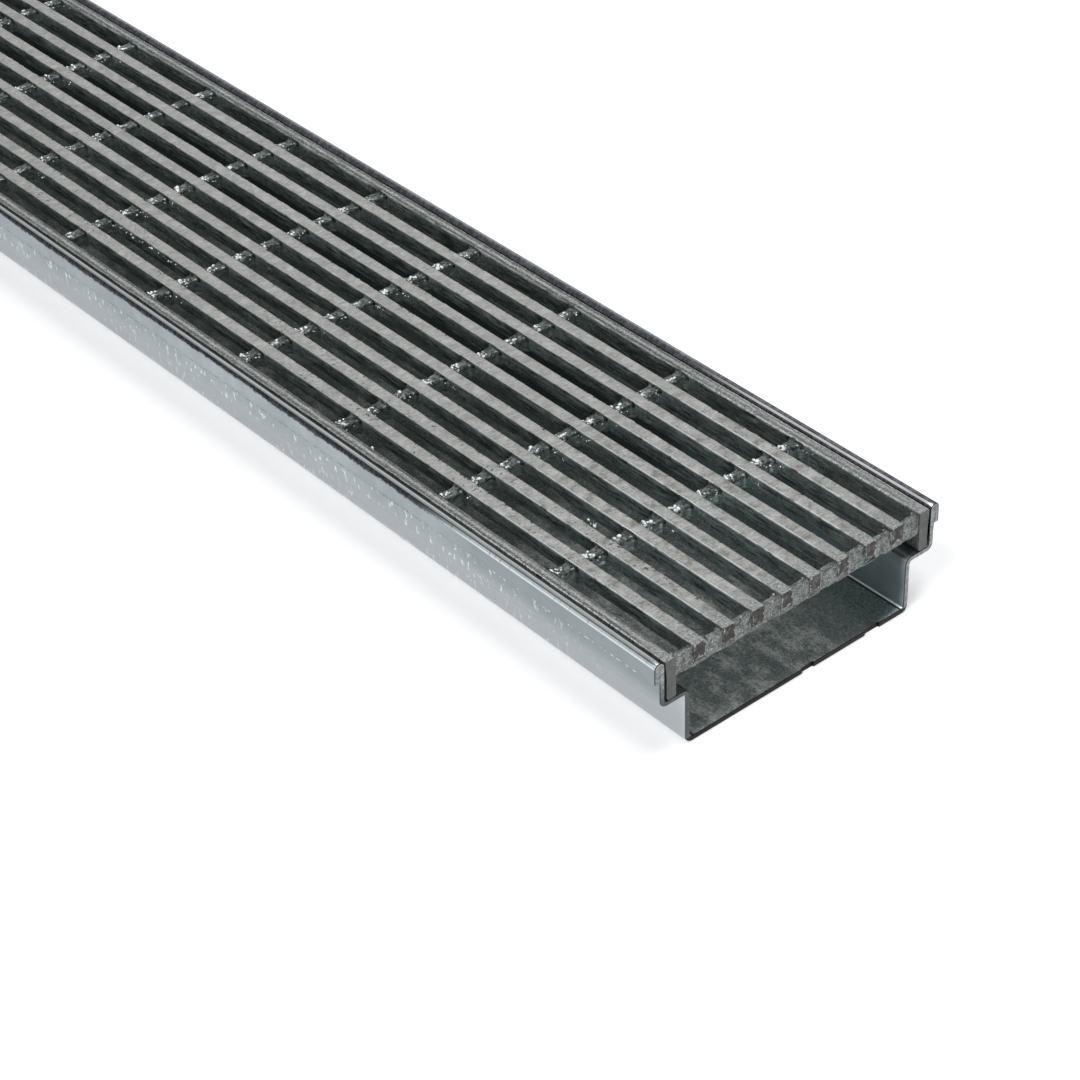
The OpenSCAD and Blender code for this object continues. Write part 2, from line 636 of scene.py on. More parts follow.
        # Painted shade and a painted highlight along the folds between the base and the lower walls.
        crease = on.band(across, self.half_in - 1.7 * MM, self.half_in - 1.0 * MM, 0.2 * MM)
        painted_highlight = on.band(across, self.half_in - 0.75 * MM, self.half_in - 0.35 * MM, 0.15 * MM)
        low = on.rise(z, self.sheet + 1.6 * MM, self.sheet + 1.2 * MM)
        shade = on.blend(flat, plain, shade)
        shade = on.coat(shade, Tint.CREASE_SHADE, crease, low, 0.9)
        shade = on.coat(shade, Tint.GLEAM_HIGHLIGHT, painted_highlight, low, 0.9)
        # Painted shade: the inside darkens further from the ends.
        further = on.rise(on.size(y), self.end - 85 * MM, self.end - 140 * MM)
        shade = on.coat(shade, Tint.DEPTHS_SHADE, further, 0.6)
        # Painted shade under the shelves.
        ledge = on.product(
            on.rise(across, self.half_in - 0.1 * MM, self.half_in + 0.3 * MM),
            on.rise(across, self.rim_in - 0.6 * MM, self.rim_in - 1.0 * MM),
            on.rise(z, self.shelf - 1.3 * MM, self.shelf - 0.9 * MM),
        )
        base = on.coat(base, Tint.LEDGE_SHADE, ledge, 0.85)
        return on.coat(base, shade, inner)

    def rims(self, on: Canvas, base: Socket) -> Socket:
        """Adds the painted reflections, a torn dark band and a pale line, and the painted highlights and
        painted shade that run along the rims.

        Args:
            on: Canvas of the material.
            base: Colour so far.

        Returns:
            The colour's socket.
        """
        x, y, z = on.axes
        near = self.near(on)
        drawn = on.combine(on.product(x, 0.5), y, z)
        torn = on.noise(drawn, 1.5 * MM, 4.0, 0.85)
        waver = on.product(on.minus(torn, 0.5), 3.2 * MM)
        spread = on.minus(on.noise(on.combine(0.0, y, 5.0), 38 * MM, 3.0), 0.5)
        shift = on.plus(waver, on.product(spread, 2.6 * MM))
        left = on.rise(x, 0.5 * MM, -0.5 * MM)
        right = on.minus(1.0, left)
        off = on.minus(on.size(x), self.rim_in)
        mottle = on.spots(drawn, 1.6 * MM, 0.40, 0.66, 4.0, 0.8)

        # Painted reflection on the left rim's rounded top: a torn dark band and a pale line.
        lowered = on.minus(on.plus(z, shift), on.product(near, 1.0 * MM))
        outside = on.rise(lowered, self.top - 2.0 * MM, self.top - 1.5 * MM)
        outer = on.product(outside, left, on.rise(off, 2.7 * MM, 3.1 * MM))
        dark_reflection = on.blend(mottle, self.dark_reflection, Tint.DARK_REFLECTION_MOTTLE)
        base = on.coat(base, dark_reflection, outer, on.lerp(near, 1.0, 0.5))
        pale = on.product(left, on.rise(z, self.top - 0.7 * MM, self.top - 0.45 * MM))
        pale = on.product(pale, on.band(off, 1.9 * MM, 3.0 * MM, 0.15 * MM))
        base = on.coat(base, self.pale_reflection, pale)
        # Painted highlight: a beaded bright line along the left rim's outer edge, near the near end.
        lip = on.product(
            left,
            on.band(off, 3.5 * MM, 4.05 * MM, 0.12 * MM),
            on.rise(z, self.top - 2.0 * MM, self.top - 1.7 * MM),
        )
        beads = on.spots(on.combine(0.0, y, 9.0), 1.5 * MM, 0.28, 0.46, 3.0, 0.7)
        base = on.coat(base, Tint.GLEAM_HIGHLIGHT, lip, near, beads)

        # Painted reflection: a dark mottled band on the right rim's crown.
        spared = on.minus(on.product(waver, 0.4), on.product(near, 1.3 * MM))
        crown = on.product(
            right,
            on.rise(z, self.top - 2.4 * MM, self.top - 2.0 * MM),
            on.rise(on.plus(off, spared), 2.8 * MM, 1.7 * MM),
        )
        dark = on.blend(mottle, Tint.CROWN_DARK_REFLECTION, Tint.CROWN_PALE_REFLECTION)
        base = on.coat(base, dark, crown)
        # Painted highlight: a bright stripe on the right rim, near the near end.
        painted_highlight = on.product(right, near, on.band(off, 0.65 * MM, 1.2 * MM, 0.12 * MM))
        painted_highlight = on.product(painted_highlight, on.rise(z, self.top - 2.0 * MM, self.top - 1.5 * MM))
        base = on.coat(base, Tint.GLARE_HIGHLIGHT, painted_highlight)
        # Painted shade in the crevices beside the edge flats.
        crevice = on.product(
            on.rise(off, 1.85 * MM, 1.6 * MM),
            on.rise(off, -0.2 * MM, 0.0 * MM),
            on.rise(z, self.shelf, self.shelf + 5 * MM),
        )
        pit = on.product(
            on.rise(off, 0.2 * MM, 0.1 * MM),
            on.rise(off, -0.2 * MM, 0.0 * MM),
            on.rise(z, self.shelf, self.shelf + 5 * MM),
        )
        in_shade = on.maths("MAXIMUM", on.product(crevice, left), pit)
        return on.coat(base, Tint.CREVICE_SHADE, in_shade)

    def cut_mask(self, on: Canvas) -> Socket:
        """Gives 1 on the sheared faces and 0 elsewhere."""
        _, y, _ = on.axes
        return on.rise(on.size(y), self.end - 0.13 * MM, self.end - 0.10 * MM)

    def edges(self, on: Canvas, base: Socket) -> Socket:
        """Adds the sheared edges with a dark outline of painted shade along them, painted shade on the left
        half of the cut faces, and the nicks.

        Args:
            on: Canvas of the material.
            base: Colour so far.

        Returns:
            The colour's socket.
        """
        x, y, z = on.axes
        along = on.size(y)
        # Painted shade: a dark outline along the sheared edges.
        outline = on.rise(along, self.end - 0.6 * MM, self.end - 0.35 * MM)
        base = on.coat(base, Tint.SHEARED_SHADE_LINE, outline, 0.9)
        speckle = on.spots(on.place, 1.1 * MM, 0.38, 0.62, 3.0, 0.75)
        metal = on.blend(speckle, Tint.SHEARED_DULL, self.cut)
        shaded = on.product(on.rise(x, 0.5 * MM, -0.5 * MM), on.rise(z, self.top - 7 * MM, self.shelf))
        metal = on.coat(metal, Tint.SHEARED_SHADE, shaded, 0.75)
        foot = on.rise(z, 2.8 * MM, 1.6 * MM)
        metal = on.coat(metal, Tint.SHEARED_FOOT, foot, 0.95)
        base = on.coat(base, metal, self.cut_mask(on))
        for middle, width in self.nicks:
            spot = on.product(
                on.band(x, middle - width / 2, middle + width / 2, 0.1 * MM),
                on.rise(y, -self.end + 0.95 * MM, -self.end + 0.85 * MM),
                on.rise(z, 3 * MM, 2.5 * MM),
            )
            base = on.coat(base, self.nick, spot)
        return base

    def metal(self, on: Canvas) -> Value:
        """Takes the mirror off the sheared faces."""
        return on.lerp(self.cut_mask(on), self.metallic, 0.0)

    def sheen(self, on: Canvas) -> Value:
        """Takes the sheen off the sheared faces."""
        return on.lerp(self.cut_mask(on), 0.5, 0.12)

    def height(self, on: Canvas) -> Socket:
        """Gives the height of soft runs down the walls and a little grain.

        Args:
            on: Canvas of the material.

        Returns:
            The height's socket.
        """
        _, y, z = on.axes
        runs = on.noise(on.combine(0.0, y, on.product(z, 0.12)), 3 * MM, 2.0)
        return on.lerp(0.25, runs, super().height(on))


@dataclass(frozen=True)
class Rhythm:
    """Places at which a finish repeats over the grate.

    Attributes:
        pitch: Distance between two long bars.
        half: Half width of a bar.
        bay: Distance between two cross bars.
        first: Place of the near end bar along the channel.
    """

    pitch: float = 13 * MM
    half: float = 2.5 * MM
    bay: float = 58.6 * MM
    first: float = -498.5 * MM

    def aside(self, on: NodeBench, x: Socket) -> Value:
        """Gives the distance from the middle of the nearest bar, with its sign."""
        turn = on.maths("FRACT", on.product(x, 1.0 / self.pitch))
        return on.product(on.minus(turn, 0.5), self.pitch)

    def beyond(self, on: NodeBench, x: Socket) -> Value:
        """Gives the distance from the right side of the bar at the left.

        Args:
            on: Bench of the material.
            x: Place across.

        Returns:
            The distance's socket.
        """
        start = 0.5 - self.half / self.pitch
        turn = on.maths("FRACT", on.plus(on.product(x, 1.0 / self.pitch), start))
        return on.product(turn, self.pitch)

    def before_tie(self, on: NodeBench, y: Socket) -> Socket:
        """Rises from 0 behind a cross bar to 1 just before the next one."""
        steps = on.product(on.minus(y, self.first), 1.0 / self.bay)
        return on.maths("FRACT", steps)


@dataclass(frozen=True)
class BarFinish(ZincFinish):
    """Zinc of the long bars: dull sides, ground tops, grainy ends.

    Attributes:
        ground: The ground band on top.
        rough_run: Length of the grainy stretch at each end.
        core: Colour of the cut steel at the ends.
        smear: Cover of the zinc that laps over the cut steel's border.
        depth: Height of the cut steel.
        pit_share: Share of the top that is pitted.
        rhythm: Places of the bars and the cross bars.
    """

    ground: Ground = Ground(0.0, (0.5, 0.5, 0.5), (0.3, 0.3, 0.3), 0.5)
    rough_run: float = 12 * MM
    core: Colour = (0.06, 0.055, 0.052)
    smear: float = 0.85
    depth: float = 6 * MM
    pit_share: float = 0.0
    rhythm: Rhythm = Rhythm()

    def top_mask(self, on: Canvas) -> Socket:
        """Gives 1 on the ground top and 0 below it."""
        _, _, z = on.axes
        return on.rise(z, self.ground.level - 0.16 * MM, self.ground.level - 0.05 * MM)

    def marks(self, on: Canvas) -> Socket:
        """Gives the fine grinding marks that run across the bar, from 0 to 1.

        Args:
            on: Canvas of the material.

        Returns:
            The result's socket.
        """
        x, y, _ = on.axes
        slanted = on.plus(y, on.product(x, 0.25))
        return on.noise(on.combine(on.product(x, 0.12), slanted, 0.0), 0.5 * MM, 3.0, 0.75)

    def tone(self, on: Canvas, base: Socket) -> Socket:
        """Adds the sides with their painted light and shade, the ground top, a painted highlight on its
        edge, the grainy ends and the cut steel.

        Args:
            on: Canvas of the material.
            base: Colour so far.

        Returns:
            The colour's socket.
        """
        base = self.flanks(on, base)
        base = on.coat(base, self.top_colour(on), self.top_mask(on))
        base = self.edge_highlight(on, base)
        return self.ends(on, base)

    def flanks(self, on: Canvas, base: Socket) -> Socket:
        """Adds painted glints as long pale streaks on the sides, painted light on their upper part and
        before each cross bar, painted shade behind each cross bar and further in, and dark grain.

        Args:
            on: Canvas of the material.
            base: Colour so far.

        Returns:
            The colour's socket.
        """
        x, y, z = on.axes
        further = on.minus(1.0, self.near(on))
        upper = on.rise(z, self.ground.level - 4.0 * MM, self.ground.level - 0.8 * MM)
        # Painted shade: the sides darken further from the near end and lower down.
        base = on.coat(base, Tint.GRAIN_AND_SHADE, further, on.lerp(upper, 0.30, 0.0))
        # Painted light: the upper part of the sides is paler.
        base = on.coat(base, Tint.SIDE_LIT, upper, 0.30)
        # Painted glints: long pale streaks along the sides.
        drawn = on.combine(on.product(x, 0.4), on.product(y, 0.10), z)
        fibres = on.noise(drawn, 0.9 * MM, 3.0, 0.75)
        where = on.spots(on.place, 16 * MM, 0.36, 0.54, 3.0, 0.6)
        streaks = on.product(on.rise(fibres, 0.50, 0.62), where)
        base = on.coat(base, Tint.STREAK_GLINT, streaks, on.lerp(upper, 0.5, 0.95))
        # Dark grain in the zinc of the sides.
        base = on.coat(base, Tint.GRAIN_AND_SHADE, on.rise(fibres, 0.48, 0.38), 0.85)
        spots = on.spots(on.place, 1.3 * MM, 0.50, 0.64, 3.0, 0.75)
        run = self.rhythm.before_tie(on, y)
        before = on.rise(run, 0.74, 0.97)
        # Painted light and glints on the sides just before each cross bar.
        base = on.coat(base, Tint.BEFORE_TIE_LIT, before, 0.35)
        base = on.coat(base, Tint.SPOT_GLINT, spots, on.rise(run, 0.55, 0.96), 0.8)
        # Painted shade just behind each cross bar.
        return on.coat(base, Tint.BEHIND_TIE_SHADE, on.rise(run, 0.17, 0.03), 0.7)

    def top_colour(self, on: Canvas) -> Socket:
        """Gives the colour of the ground top with its marks, dull places, pits and torn edge.

        Args:
            on: Canvas of the material.

        Returns:
            The colour's socket.
        """
        x, y, _ = on.axes
        near = self.near(on)
        share = on.rise(self.marks(on), 0.40, 0.60)
        tops = on.blend(share, self.ground.deep, self.ground.pale)
        clouds = on.noise(on.place, 5 * MM, 5.0, 0.75)
        dulled = on.product(on.rise(clouds, 0.50, 0.64), on.lerp(near, 0.45, 1.0))
        tops = on.coat(tops, Tint.TOP_DULL, dulled)
        worn = on.product(on.rise(clouds, 0.48, 0.36), on.lerp(near, 0.45, 0.55))
        tops = on.coat(tops, Tint.TOP_WORN, worn)
        grit = on.spots(on.place, 0.75 * MM, 0.57, 0.70, 2.0, 0.75)
        tops = on.coat(tops, Tint.GRIT, grit, on.lerp(near, 0.45, 0.8))
        field = on.noise(on.place, 1.25 * MM, 2.0)
        pits = on.rise(field, 0.72 - self.pit_share, 0.76 - self.pit_share)
        crowd = on.spots(on.combine(x, y, 8.0), 24 * MM, 0.46, 0.56, 3.0, 0.6)
        tops = on.coat(tops, Tint.PIT, pits, crowd, 0.9)
        from_right = on.minus(self.rhythm.half, self.rhythm.aside(on, x))
        teeth = on.spots(on.combine(x, y, 4.0), 1.5 * MM, 0.50, 0.72, 3.0, 0.7)
        stretch = on.spots(on.combine(on.product(x, 3.0), y, 6.0), 50 * MM, 0.45, 0.6, 2.0)
        depth = on.product(teeth, on.lerp(stretch, 0.25, 1.3), 1.0 * MM)
        bites = on.rise(on.minus(from_right, depth), 0.05 * MM, -0.12 * MM)
        return on.coat(tops, Tint.BITE, bites)

    def edge_highlight(self, on: Canvas, base: Socket) -> Socket:
        """Adds a painted highlight: the thin bright line on each bar's left edge, strong at the near end.

        Args:
            on: Canvas of the material.
            base: Colour so far.

        Returns:
            The colour's socket.
        """
        x, y, z = on.axes
        aside = on.plus(self.rhythm.aside(on, x), self.rhythm.half)
        # Painted highlight along each bar's left top edge.
        edge = on.product(
            on.rise(aside, 0.42 * MM, 0.28 * MM),
            on.rise(z, self.ground.level - 0.75 * MM, self.ground.level - 0.5 * MM),
        )
        broken = on.spots(on.combine(0.0, y, x), 6 * MM, 0.36, 0.5, 3.0, 0.6)
        near = on.lerp(self.near(on), 0.45, 1.0)
        return on.coat(base, Tint.BAR_EDGE_HIGHLIGHT, edge, broken, near)

    def ends(self, on: Canvas, base: Socket) -> Socket:
        """Adds the grainy stretch at each end and the cut steel, whose border the zinc laps over.

        Args:
            on: Canvas of the material.
            base: Colour so far.

        Returns:
            The colour's socket.
        """
        x, y, z = on.axes
        along = on.size(y)
        speckle = on.spots(on.place, 0.85 * MM, 0.40, 0.62, 3.0, 0.75)
        grains = on.blend(speckle, Tint.LUMP_DARK, Tint.LUMP_PALE)
        waver = on.product(on.noise(on.place, 3 * MM, 2.0), 6 * MM)
        near_end = on.rise(on.plus(along, waver), self.end - self.rough_run, self.end - 1 * MM)
        base = on.coat(base, grains, near_end, 0.85)
        cut = on.rise(along, self.end - 0.12 * MM, self.end - 0.04 * MM)
        stained = on.spots(on.place, 2.4 * MM, 0.46, 0.64, 4.0, 0.75)
        steel = on.blend(on.product(stained, 0.8), self.core, Tint.STEEL_STAIN)
        beside = on.size(self.rhythm.aside(on, x))
        inside = on.maths(
            "MINIMUM",
            on.minus(self.rhythm.half, beside),
            on.minus(z, self.ground.level - self.depth),
        )
        torn = on.minus(on.noise(on.combine(x, 0.0, z), 2.2 * MM, 2.0), 0.52)
        inside = on.plus(inside, on.product(torn, 5 * MM))
        steel = on.coat(steel, grains, on.rise(inside, 0.25 * MM, 0.0), self.smear)
        return on.coat(base, steel, cut)

    def polish(self, on: Canvas, base: Socket) -> Socket:
        """Sets the roughness of the ground top."""
        return on.lerp(self.top_mask(on), base, self.ground.roughness)

    def height(self, on: Canvas) -> Socket:
        """Gives the height of the grain on the sides and of the marks on top."""
        grain = super().height(on)
        return on.lerp(self.top_mask(on), grain, on.product(self.marks(on), 0.4))


@dataclass(frozen=True)
class FlatFinish(BarFinish):
    """Zinc of the edge flats: rolled skin with long ridges, a pale crown, strips of painted shade and
    painted highlights on its edges.

    Attributes:
        inner: Distance from the middle to the flat's inner face.
        wide: Thickness of the flat.
    """

    inner: float = 55.8 * MM
    wide: float = 4 * MM

    def marks(self, on: Canvas) -> Socket:
        """Gives the ridges that run along the flat, from 0 to 1.

        Args:
            on: Canvas of the material.

        Returns:
            The result's socket.
        """
        x, y, _ = on.axes
        drawn = on.combine(x, on.product(y, 0.05), 0.0)
        return on.noise(drawn, 0.65 * MM, 4.0, 0.8)

    def top_colour(self, on: Canvas) -> Socket:
        """Gives the ridged crown, with strips of painted shade along its outer and its inner edge.

        Args:
            on: Canvas of the material.

        Returns:
            The colour's socket.
        """
        x, _, _ = on.axes
        share = on.rise(self.marks(on), 0.38, 0.62)
        tops = on.blend(share, self.ground.deep, self.ground.pale)
        waver = on.product(on.minus(on.noise(on.place, 2.5 * MM, 4.0, 0.75), 0.5), 1.2 * MM)
        off = on.minus(on.size(x), self.inner)
        off = on.plus(off, waver)
        near = self.near(on)
        right = on.rise(x, -0.5 * MM, 0.5 * MM)
        near_right = on.product(near, right)
        # Painted shade: dark strips along the crown's outer and inner edges, and a groove on the right near
        # the end.
        outward = on.product(on.band(off, 3.0 * MM, 4.0 * MM, 0.3 * MM), on.lerp(near_right, 0.8, 0.4))
        inward = on.product(
            on.rise(off, 1.75 * MM, 1.45 * MM), on.lerp(near, 0.9, on.lerp(right, 0.7, 0.0))
        )
        groove = on.product(on.band(off, 1.0 * MM, 1.9 * MM, 0.3 * MM), near_right, 0.6)
        for strip in (outward, inward, groove):
            tops = on.coat(tops, Tint.FLAT_SHADE_STRIP, strip)
        fine = on.noise(on.place, 0.8 * MM, 3.0, 0.8)
        tops = on.coat(tops, Tint.FLAT_FLECK, on.rise(fine, 0.46, 0.34), 0.6)
        return on.coat(tops, Tint.FLAT_PORE, on.rise(fine, 0.52, 0.64), 0.75)

    def edge_highlight(self, on: Canvas, base: Socket) -> Socket:
        """Adds painted highlights: the broken bright lines on both edges of the crown.

        Args:
            on: Canvas of the material.
            base: Colour so far.

        Returns:
            The colour's socket.
        """
        x, y, z = on.axes
        off = on.minus(on.size(x), self.inner)
        near = self.near(on)
        # Painted highlights along both edges of the crown.
        inner = on.product(
            on.band(off, 0.15 * MM, 0.45 * MM, 0.15 * MM),
            on.rise(z, self.ground.level - 1.2 * MM, self.ground.level - 0.9 * MM),
            on.lerp(on.product(near, on.rise(x, -0.5 * MM, 0.5 * MM)), 0.25, 0.9),
        )
        outer = on.product(
            on.rise(off, self.wide - 0.10 * MM, self.wide + 0.05 * MM),
            on.rise(z, self.ground.level - 2.4 * MM, self.ground.level - 2.0 * MM),
            on.lerp(near, 0.35, 0.95),
        )
        broken = on.spots(on.combine(x, y, 0.0), 1.5 * MM, 0.42, 0.54, 3.0, 0.75)
        return on.coat(base, Tint.FLAT_EDGE_HIGHLIGHT, on.maths("MAXIMUM", inner, outer), broken)


@dataclass(frozen=True)
class GrainyFinish(ZincFinish):
    """Zinc full of small grains, as it sets on the end bars.

    Attributes:
        speck: Size of a grain.
        bright: Colour of the bright grains.
        dark: Colour of the pores.
    """

    speck: float = 0.6 * MM
    bright: Colour = (0.70, 0.72, 0.70)
    dark: Colour = (0.03, 0.033, 0.032)

    def tone(self, on: Canvas, base: Socket) -> Socket:
        """Adds the bright grains and the dark pores.

        Args:
            on: Canvas of the material.
            base: Colour so far.

        Returns:
            The colour's socket.
        """
        grains = on.noise(on.place, self.speck, 3.0, 0.8)
        base = on.coat(base, self.bright, on.rise(grains, 0.54, 0.66), 0.7)
        return on.coat(base, self.dark, on.rise(grains, 0.46, 0.34), 0.8)


@dataclass(frozen=True)
class TieFinish(ZincFinish):
    """Zinc of the cross bars: dark, with painted highlights on ridges beside the long bar at their left,
    and sides painted paler.

    Attributes:
        rhythm: Places of the bars.
        level: Height of the cross bars' tops.
        painted_highlight: Colour of the painted highlights on the ridges.
    """

    rhythm: Rhythm = Rhythm()
    level: float = 38 * MM
    painted_highlight: Colour = Tint.GLEAM_HIGHLIGHT

    def tone(self, on: Canvas, base: Socket) -> Socket:
        """Adds painted highlights on the ridges, dark veins, and sides painted paler so that they render as
        dull as those of the long bars.

        Args:
            on: Canvas of the material.
            base: Colour so far.

        Returns:
            The colour's socket.
        """
        x, _, z = on.axes
        # Painted highlights on ridges, strongest beside the long bar at the left.
        beside = on.rise(self.rhythm.beyond(on, x), 5.0 * MM, 1.5 * MM)
        ridges = on.spots(on.place, 1.3 * MM, 0.52, 0.60, 3.0, 0.7)
        base = on.coat(base, self.painted_highlight, ridges, on.lerp(beside, 0.1, 0.95))
        veins = on.spots(on.place, 1.1 * MM, 0.49, 0.40, 2.0, 0.7)
        base = on.coat(base, Tint.VEIN, veins, 0.8)
        # Painted light: the sides are coloured paler than the top.
        lower = on.rise(z, self.level - 0.8 * MM, self.level - 1.6 * MM)
        fibres = on.noise(on.combine(on.product(x, 0.3), 0.0, z), 0.8 * MM, 3.0, 0.7)
        side = on.blend(on.rise(fibres, 0.42, 0.60), Tint.TIE_SIDE_LIT, Tint.TIE_SIDE_LIT_PALE)
        return on.coat(base, side, lower)


def linked(name: str, data: bpy.types.ID) -> bpy.types.Object:
    """Makes an object and links it to the scene.

    Args:
        name: Its name.
        data: Its mesh, curve, lamp or camera.

    Returns:
        The object.
    """
    made = bpy.data.objects.new(name, data)
    bpy.context.scene.collection.objects.link(made)
    return made


def mesh_from(name: str, points: Sequence[Point], faces: Sequence[Sequence[int]]) -> bpy.types.Mesh:
    """Makes a mesh from points and faces.

    Args:
        name: Name of the mesh.
        points: Its points.
        faces: Point numbers of each face, seen from outside against the clock.

    Returns:
        The mesh.
    """
    made = bpy.data.meshes.new(name)
    made.from_pydata(points, [], faces)
    made.validate()
    return made


def stitched(rings: int, loop: int) -> list[tuple[int, ...]]:
    """Joins closed rings of points with a skin.

    Args:
        rings: Number of rings.
        loop: Number of points in each.

    Returns:
        Point numbers of each face.
    """
    faces: list[tuple[int, ...]] = []
    for start in range(0, (rings - 1) * loop, loop):
        for i in range(loop):
            a = start + i
            b = start + (i + 1) % loop
            faces.append((a, b, b + loop, a + loop))
    return faces


def arcs(corners: Iterable[tuple[float, float, float, float]], steps: int) -> list[Pair]:
    """Draws the round corners of an outline.

    Args:
        corners: Centre, radius and first angle in degrees of each quarter circle.
        steps: Steps in each.

    Returns:
        Their points.
    """
    points: list[Pair] = []
    for x, y, radius, start in corners:
        for step in range(steps + 1):
            angle = math.radians(start + 90 * step / steps)
            points.append((x + radius * math.cos(angle), y + radius * math.sin(angle)))
    return points


def smooth(mesh: bpy.types.Mesh, angle: float) -> None:
    """Shades a mesh smoothly between edges that are sharper than the angle."""
    mesh.shade_smooth()
    mesh.set_sharp_from_angle(angle=angle)


class TreeRunner:
    """Builds a piece by running a geometry tree once and keeping the plain mesh.

    Attributes:
        sharp: Angle above which an edge of the mesh stays sharp.
    """

    sharp = math.radians(32)

    def __init__(self, name: str) -> None:
        """Starts an empty tree that has a geometry output.

        Args:
            name: Name of the tree.
        """
        self.tree = bpy.data.node_groups.new(name, "GeometryNodeTree")
        self.tree.interface.new_socket(
            name="Geometry", in_out="OUTPUT", socket_type="NodeSocketGeometry"
        )
        self.bench = NodeBench(self.tree)
        self.entry = self.tree.nodes.new("NodeGroupInput")
        self.keys: dict[str, str] = {}

    def takes(self, **kinds: str) -> list[Socket]:
        """Adds named inputs to the tree.

        Args:
            **kinds: Socket kind of each input by its name, with underscores for the name's blanks.

        Returns:
            The sockets that carry them inside the tree, in the same order.
        """
        for key, kind in kinds.items():
            name = key.replace("_", " ")
            item = self.tree.interface.new_socket(
                name=name, in_out="INPUT", socket_type=f"NodeSocket{kind}"
            )
            self.keys[key] = item.identifier
        return [self.entry.outputs[key.replace("_", " ")] for key in kinds]

    def moved(self, geometry: Socket, offset: Socket) -> Socket:
        """Moves every point of a form by an offset and returns the form's socket."""
        return self.bench.first("GeometryNodeSetPosition", {"Geometry": geometry, "Offset": offset})

    def ends(self, geometry: Socket, material: Socket) -> None:
        """Closes the tree with real geometry and its material.

        Args:
            geometry: Socket of the finished form.
            material: Socket of the material.
        """
        real = self.bench.first("GeometryNodeRealizeInstances", {0: geometry})
        dressed = self.bench.first("GeometryNodeSetMaterial", {"Geometry": real, "Material": material})
        self.bench.node("NodeGroupOutput", {0: dressed})

    def run(self, name: str, **values: Any) -> bpy.types.Object:
        """Runs the tree with the given inputs.

        Args:
            name: Name of the piece.
            **values: Value of each input, with underscores for the blanks of its name.

        Returns:
            An object at the origin with a plain mesh.
        """
        holder = linked(name, bpy.data.meshes.new(name))
        modifier = holder.modifiers.new("form", "NODES")
        modifier.node_group = self.tree
        for key, value in values.items():
            modifier[self.keys[key]] = value
        bpy.context.view_layer.update()
        graph = bpy.context.evaluated_depsgraph_get()
        mesh = bpy.data.meshes.new_from_object(holder.evaluated_get(graph))
        holder.modifiers.clear()
        spare = holder.data
        holder.data = mesh
        bpy.data.meshes.remove(spare)
        mesh.name = name
        smooth(mesh, self.sharp)
        return holder


def keep(piece: bpy.types.Object, slot: Slot, *nodes: str) -> bpy.types.Object:
    """Hands a finished piece to the frame.

    Args:
        piece: The piece, at the origin.
        slot: Finish slot; not used.
        *nodes: CAD nodes that it stands for.

    Returns:
        The piece.
    """
    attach(piece, BODY)
    if nodes:
        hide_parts(*nodes)
    LOG.info("%s: %d faces", piece.name, len(piece.data.polygons))
    return piece


class SweepTree(TreeRunner):
    """Sweeps a closed section along Y and roughens it as a zinc bath does."""

    def __init__(self) -> None:
        """Builds the tree."""
        super().__init__("swept_bar")
        bench = self.bench
        section, length, rings, middle, level, width = self.takes(
            Section="Object", Length="Float", Rings="Int", Middle="Float", Level="Float", Width="Float"
        )
        swell, burr, lip, seed, material = self.takes(
            Swell="Float", Burr="Float", Lip="Float", Seed="Float", Material="Material"
        )

        half = bench.product(length, 0.5)
        path = bench.first(
            "GeometryNodeCurvePrimitiveLine",
            {
                "Start": bench.combine(middle, bench.product(half, -1.0), level),
                "End": bench.combine(middle, half, level),
            },
        )
        fine = bench.first("GeometryNodeResampleCurve", {"Curve": path, "Count": rings})
        outline = bench.node("GeometryNodeObjectInfo", {"Object": section}).outputs["Geometry"]
        skin = bench.first(
            "GeometryNodeCurveToMesh", {"Curve": fine, "Profile Curve": outline, "Fill Caps": True}
        )

        place = bench.first("GeometryNodeInputPosition")
        drawn = bench.vector_maths("ADD", place, bench.combine(seed, bench.product(seed, 0.7), seed))
        x, _, z = bench.split(place)
        aside = bench.minus(x, middle)
        below = bench.rise(bench.minus(z, level), 0.0, -0.3 * MM)
        lump = bench.minus(bench.noise(drawn, 2.6 * MM, 2.0), 0.5)
        outward = bench.first("GeometryNodeInputNormal")
        waves = bench.scaled(outward, bench.product(lump, swell, below))

        corner = bench.product(
            bench.rise(bench.minus(z, level), -1.3 * MM, -0.3 * MM),
            bench.rise(
                bench.minus(bench.size(aside), bench.product(width, 0.5)),
                -0.6 * MM,
                -0.1 * MM,
            ),
        )
        _, drawn_y, _ = bench.split(drawn)
        teeth = bench.spots(bench.combine(seed, drawn_y, 0.0), 2.2 * MM, 0.5, 0.72, 1.0)
        stretch = bench.spots(bench.combine(seed, drawn_y, 1.0), 60 * MM, 0.42, 0.6, 1.0)
        facing = bench.lerp(bench.rise(aside, -0.1 * MM, 0.1 * MM), -0.35, 1.0)
        push = bench.product(corner, teeth, stretch, burr, facing)
        outer = bench.maths("SIGN", middle)
        spread = bench.product(
            bench.rise(bench.product(aside, outer), 1.0 * MM, 1.9 * MM),
            bench.rise(bench.minus(z, level), -8 * MM, -1.5 * MM),
            lip,
            outer,
        )
        push = bench.plus(push, spread)
        offset = bench.vector_maths("ADD", waves, bench.combine(push, 0.0, 0.0))
        self.ends(self.moved(skin, offset), material)


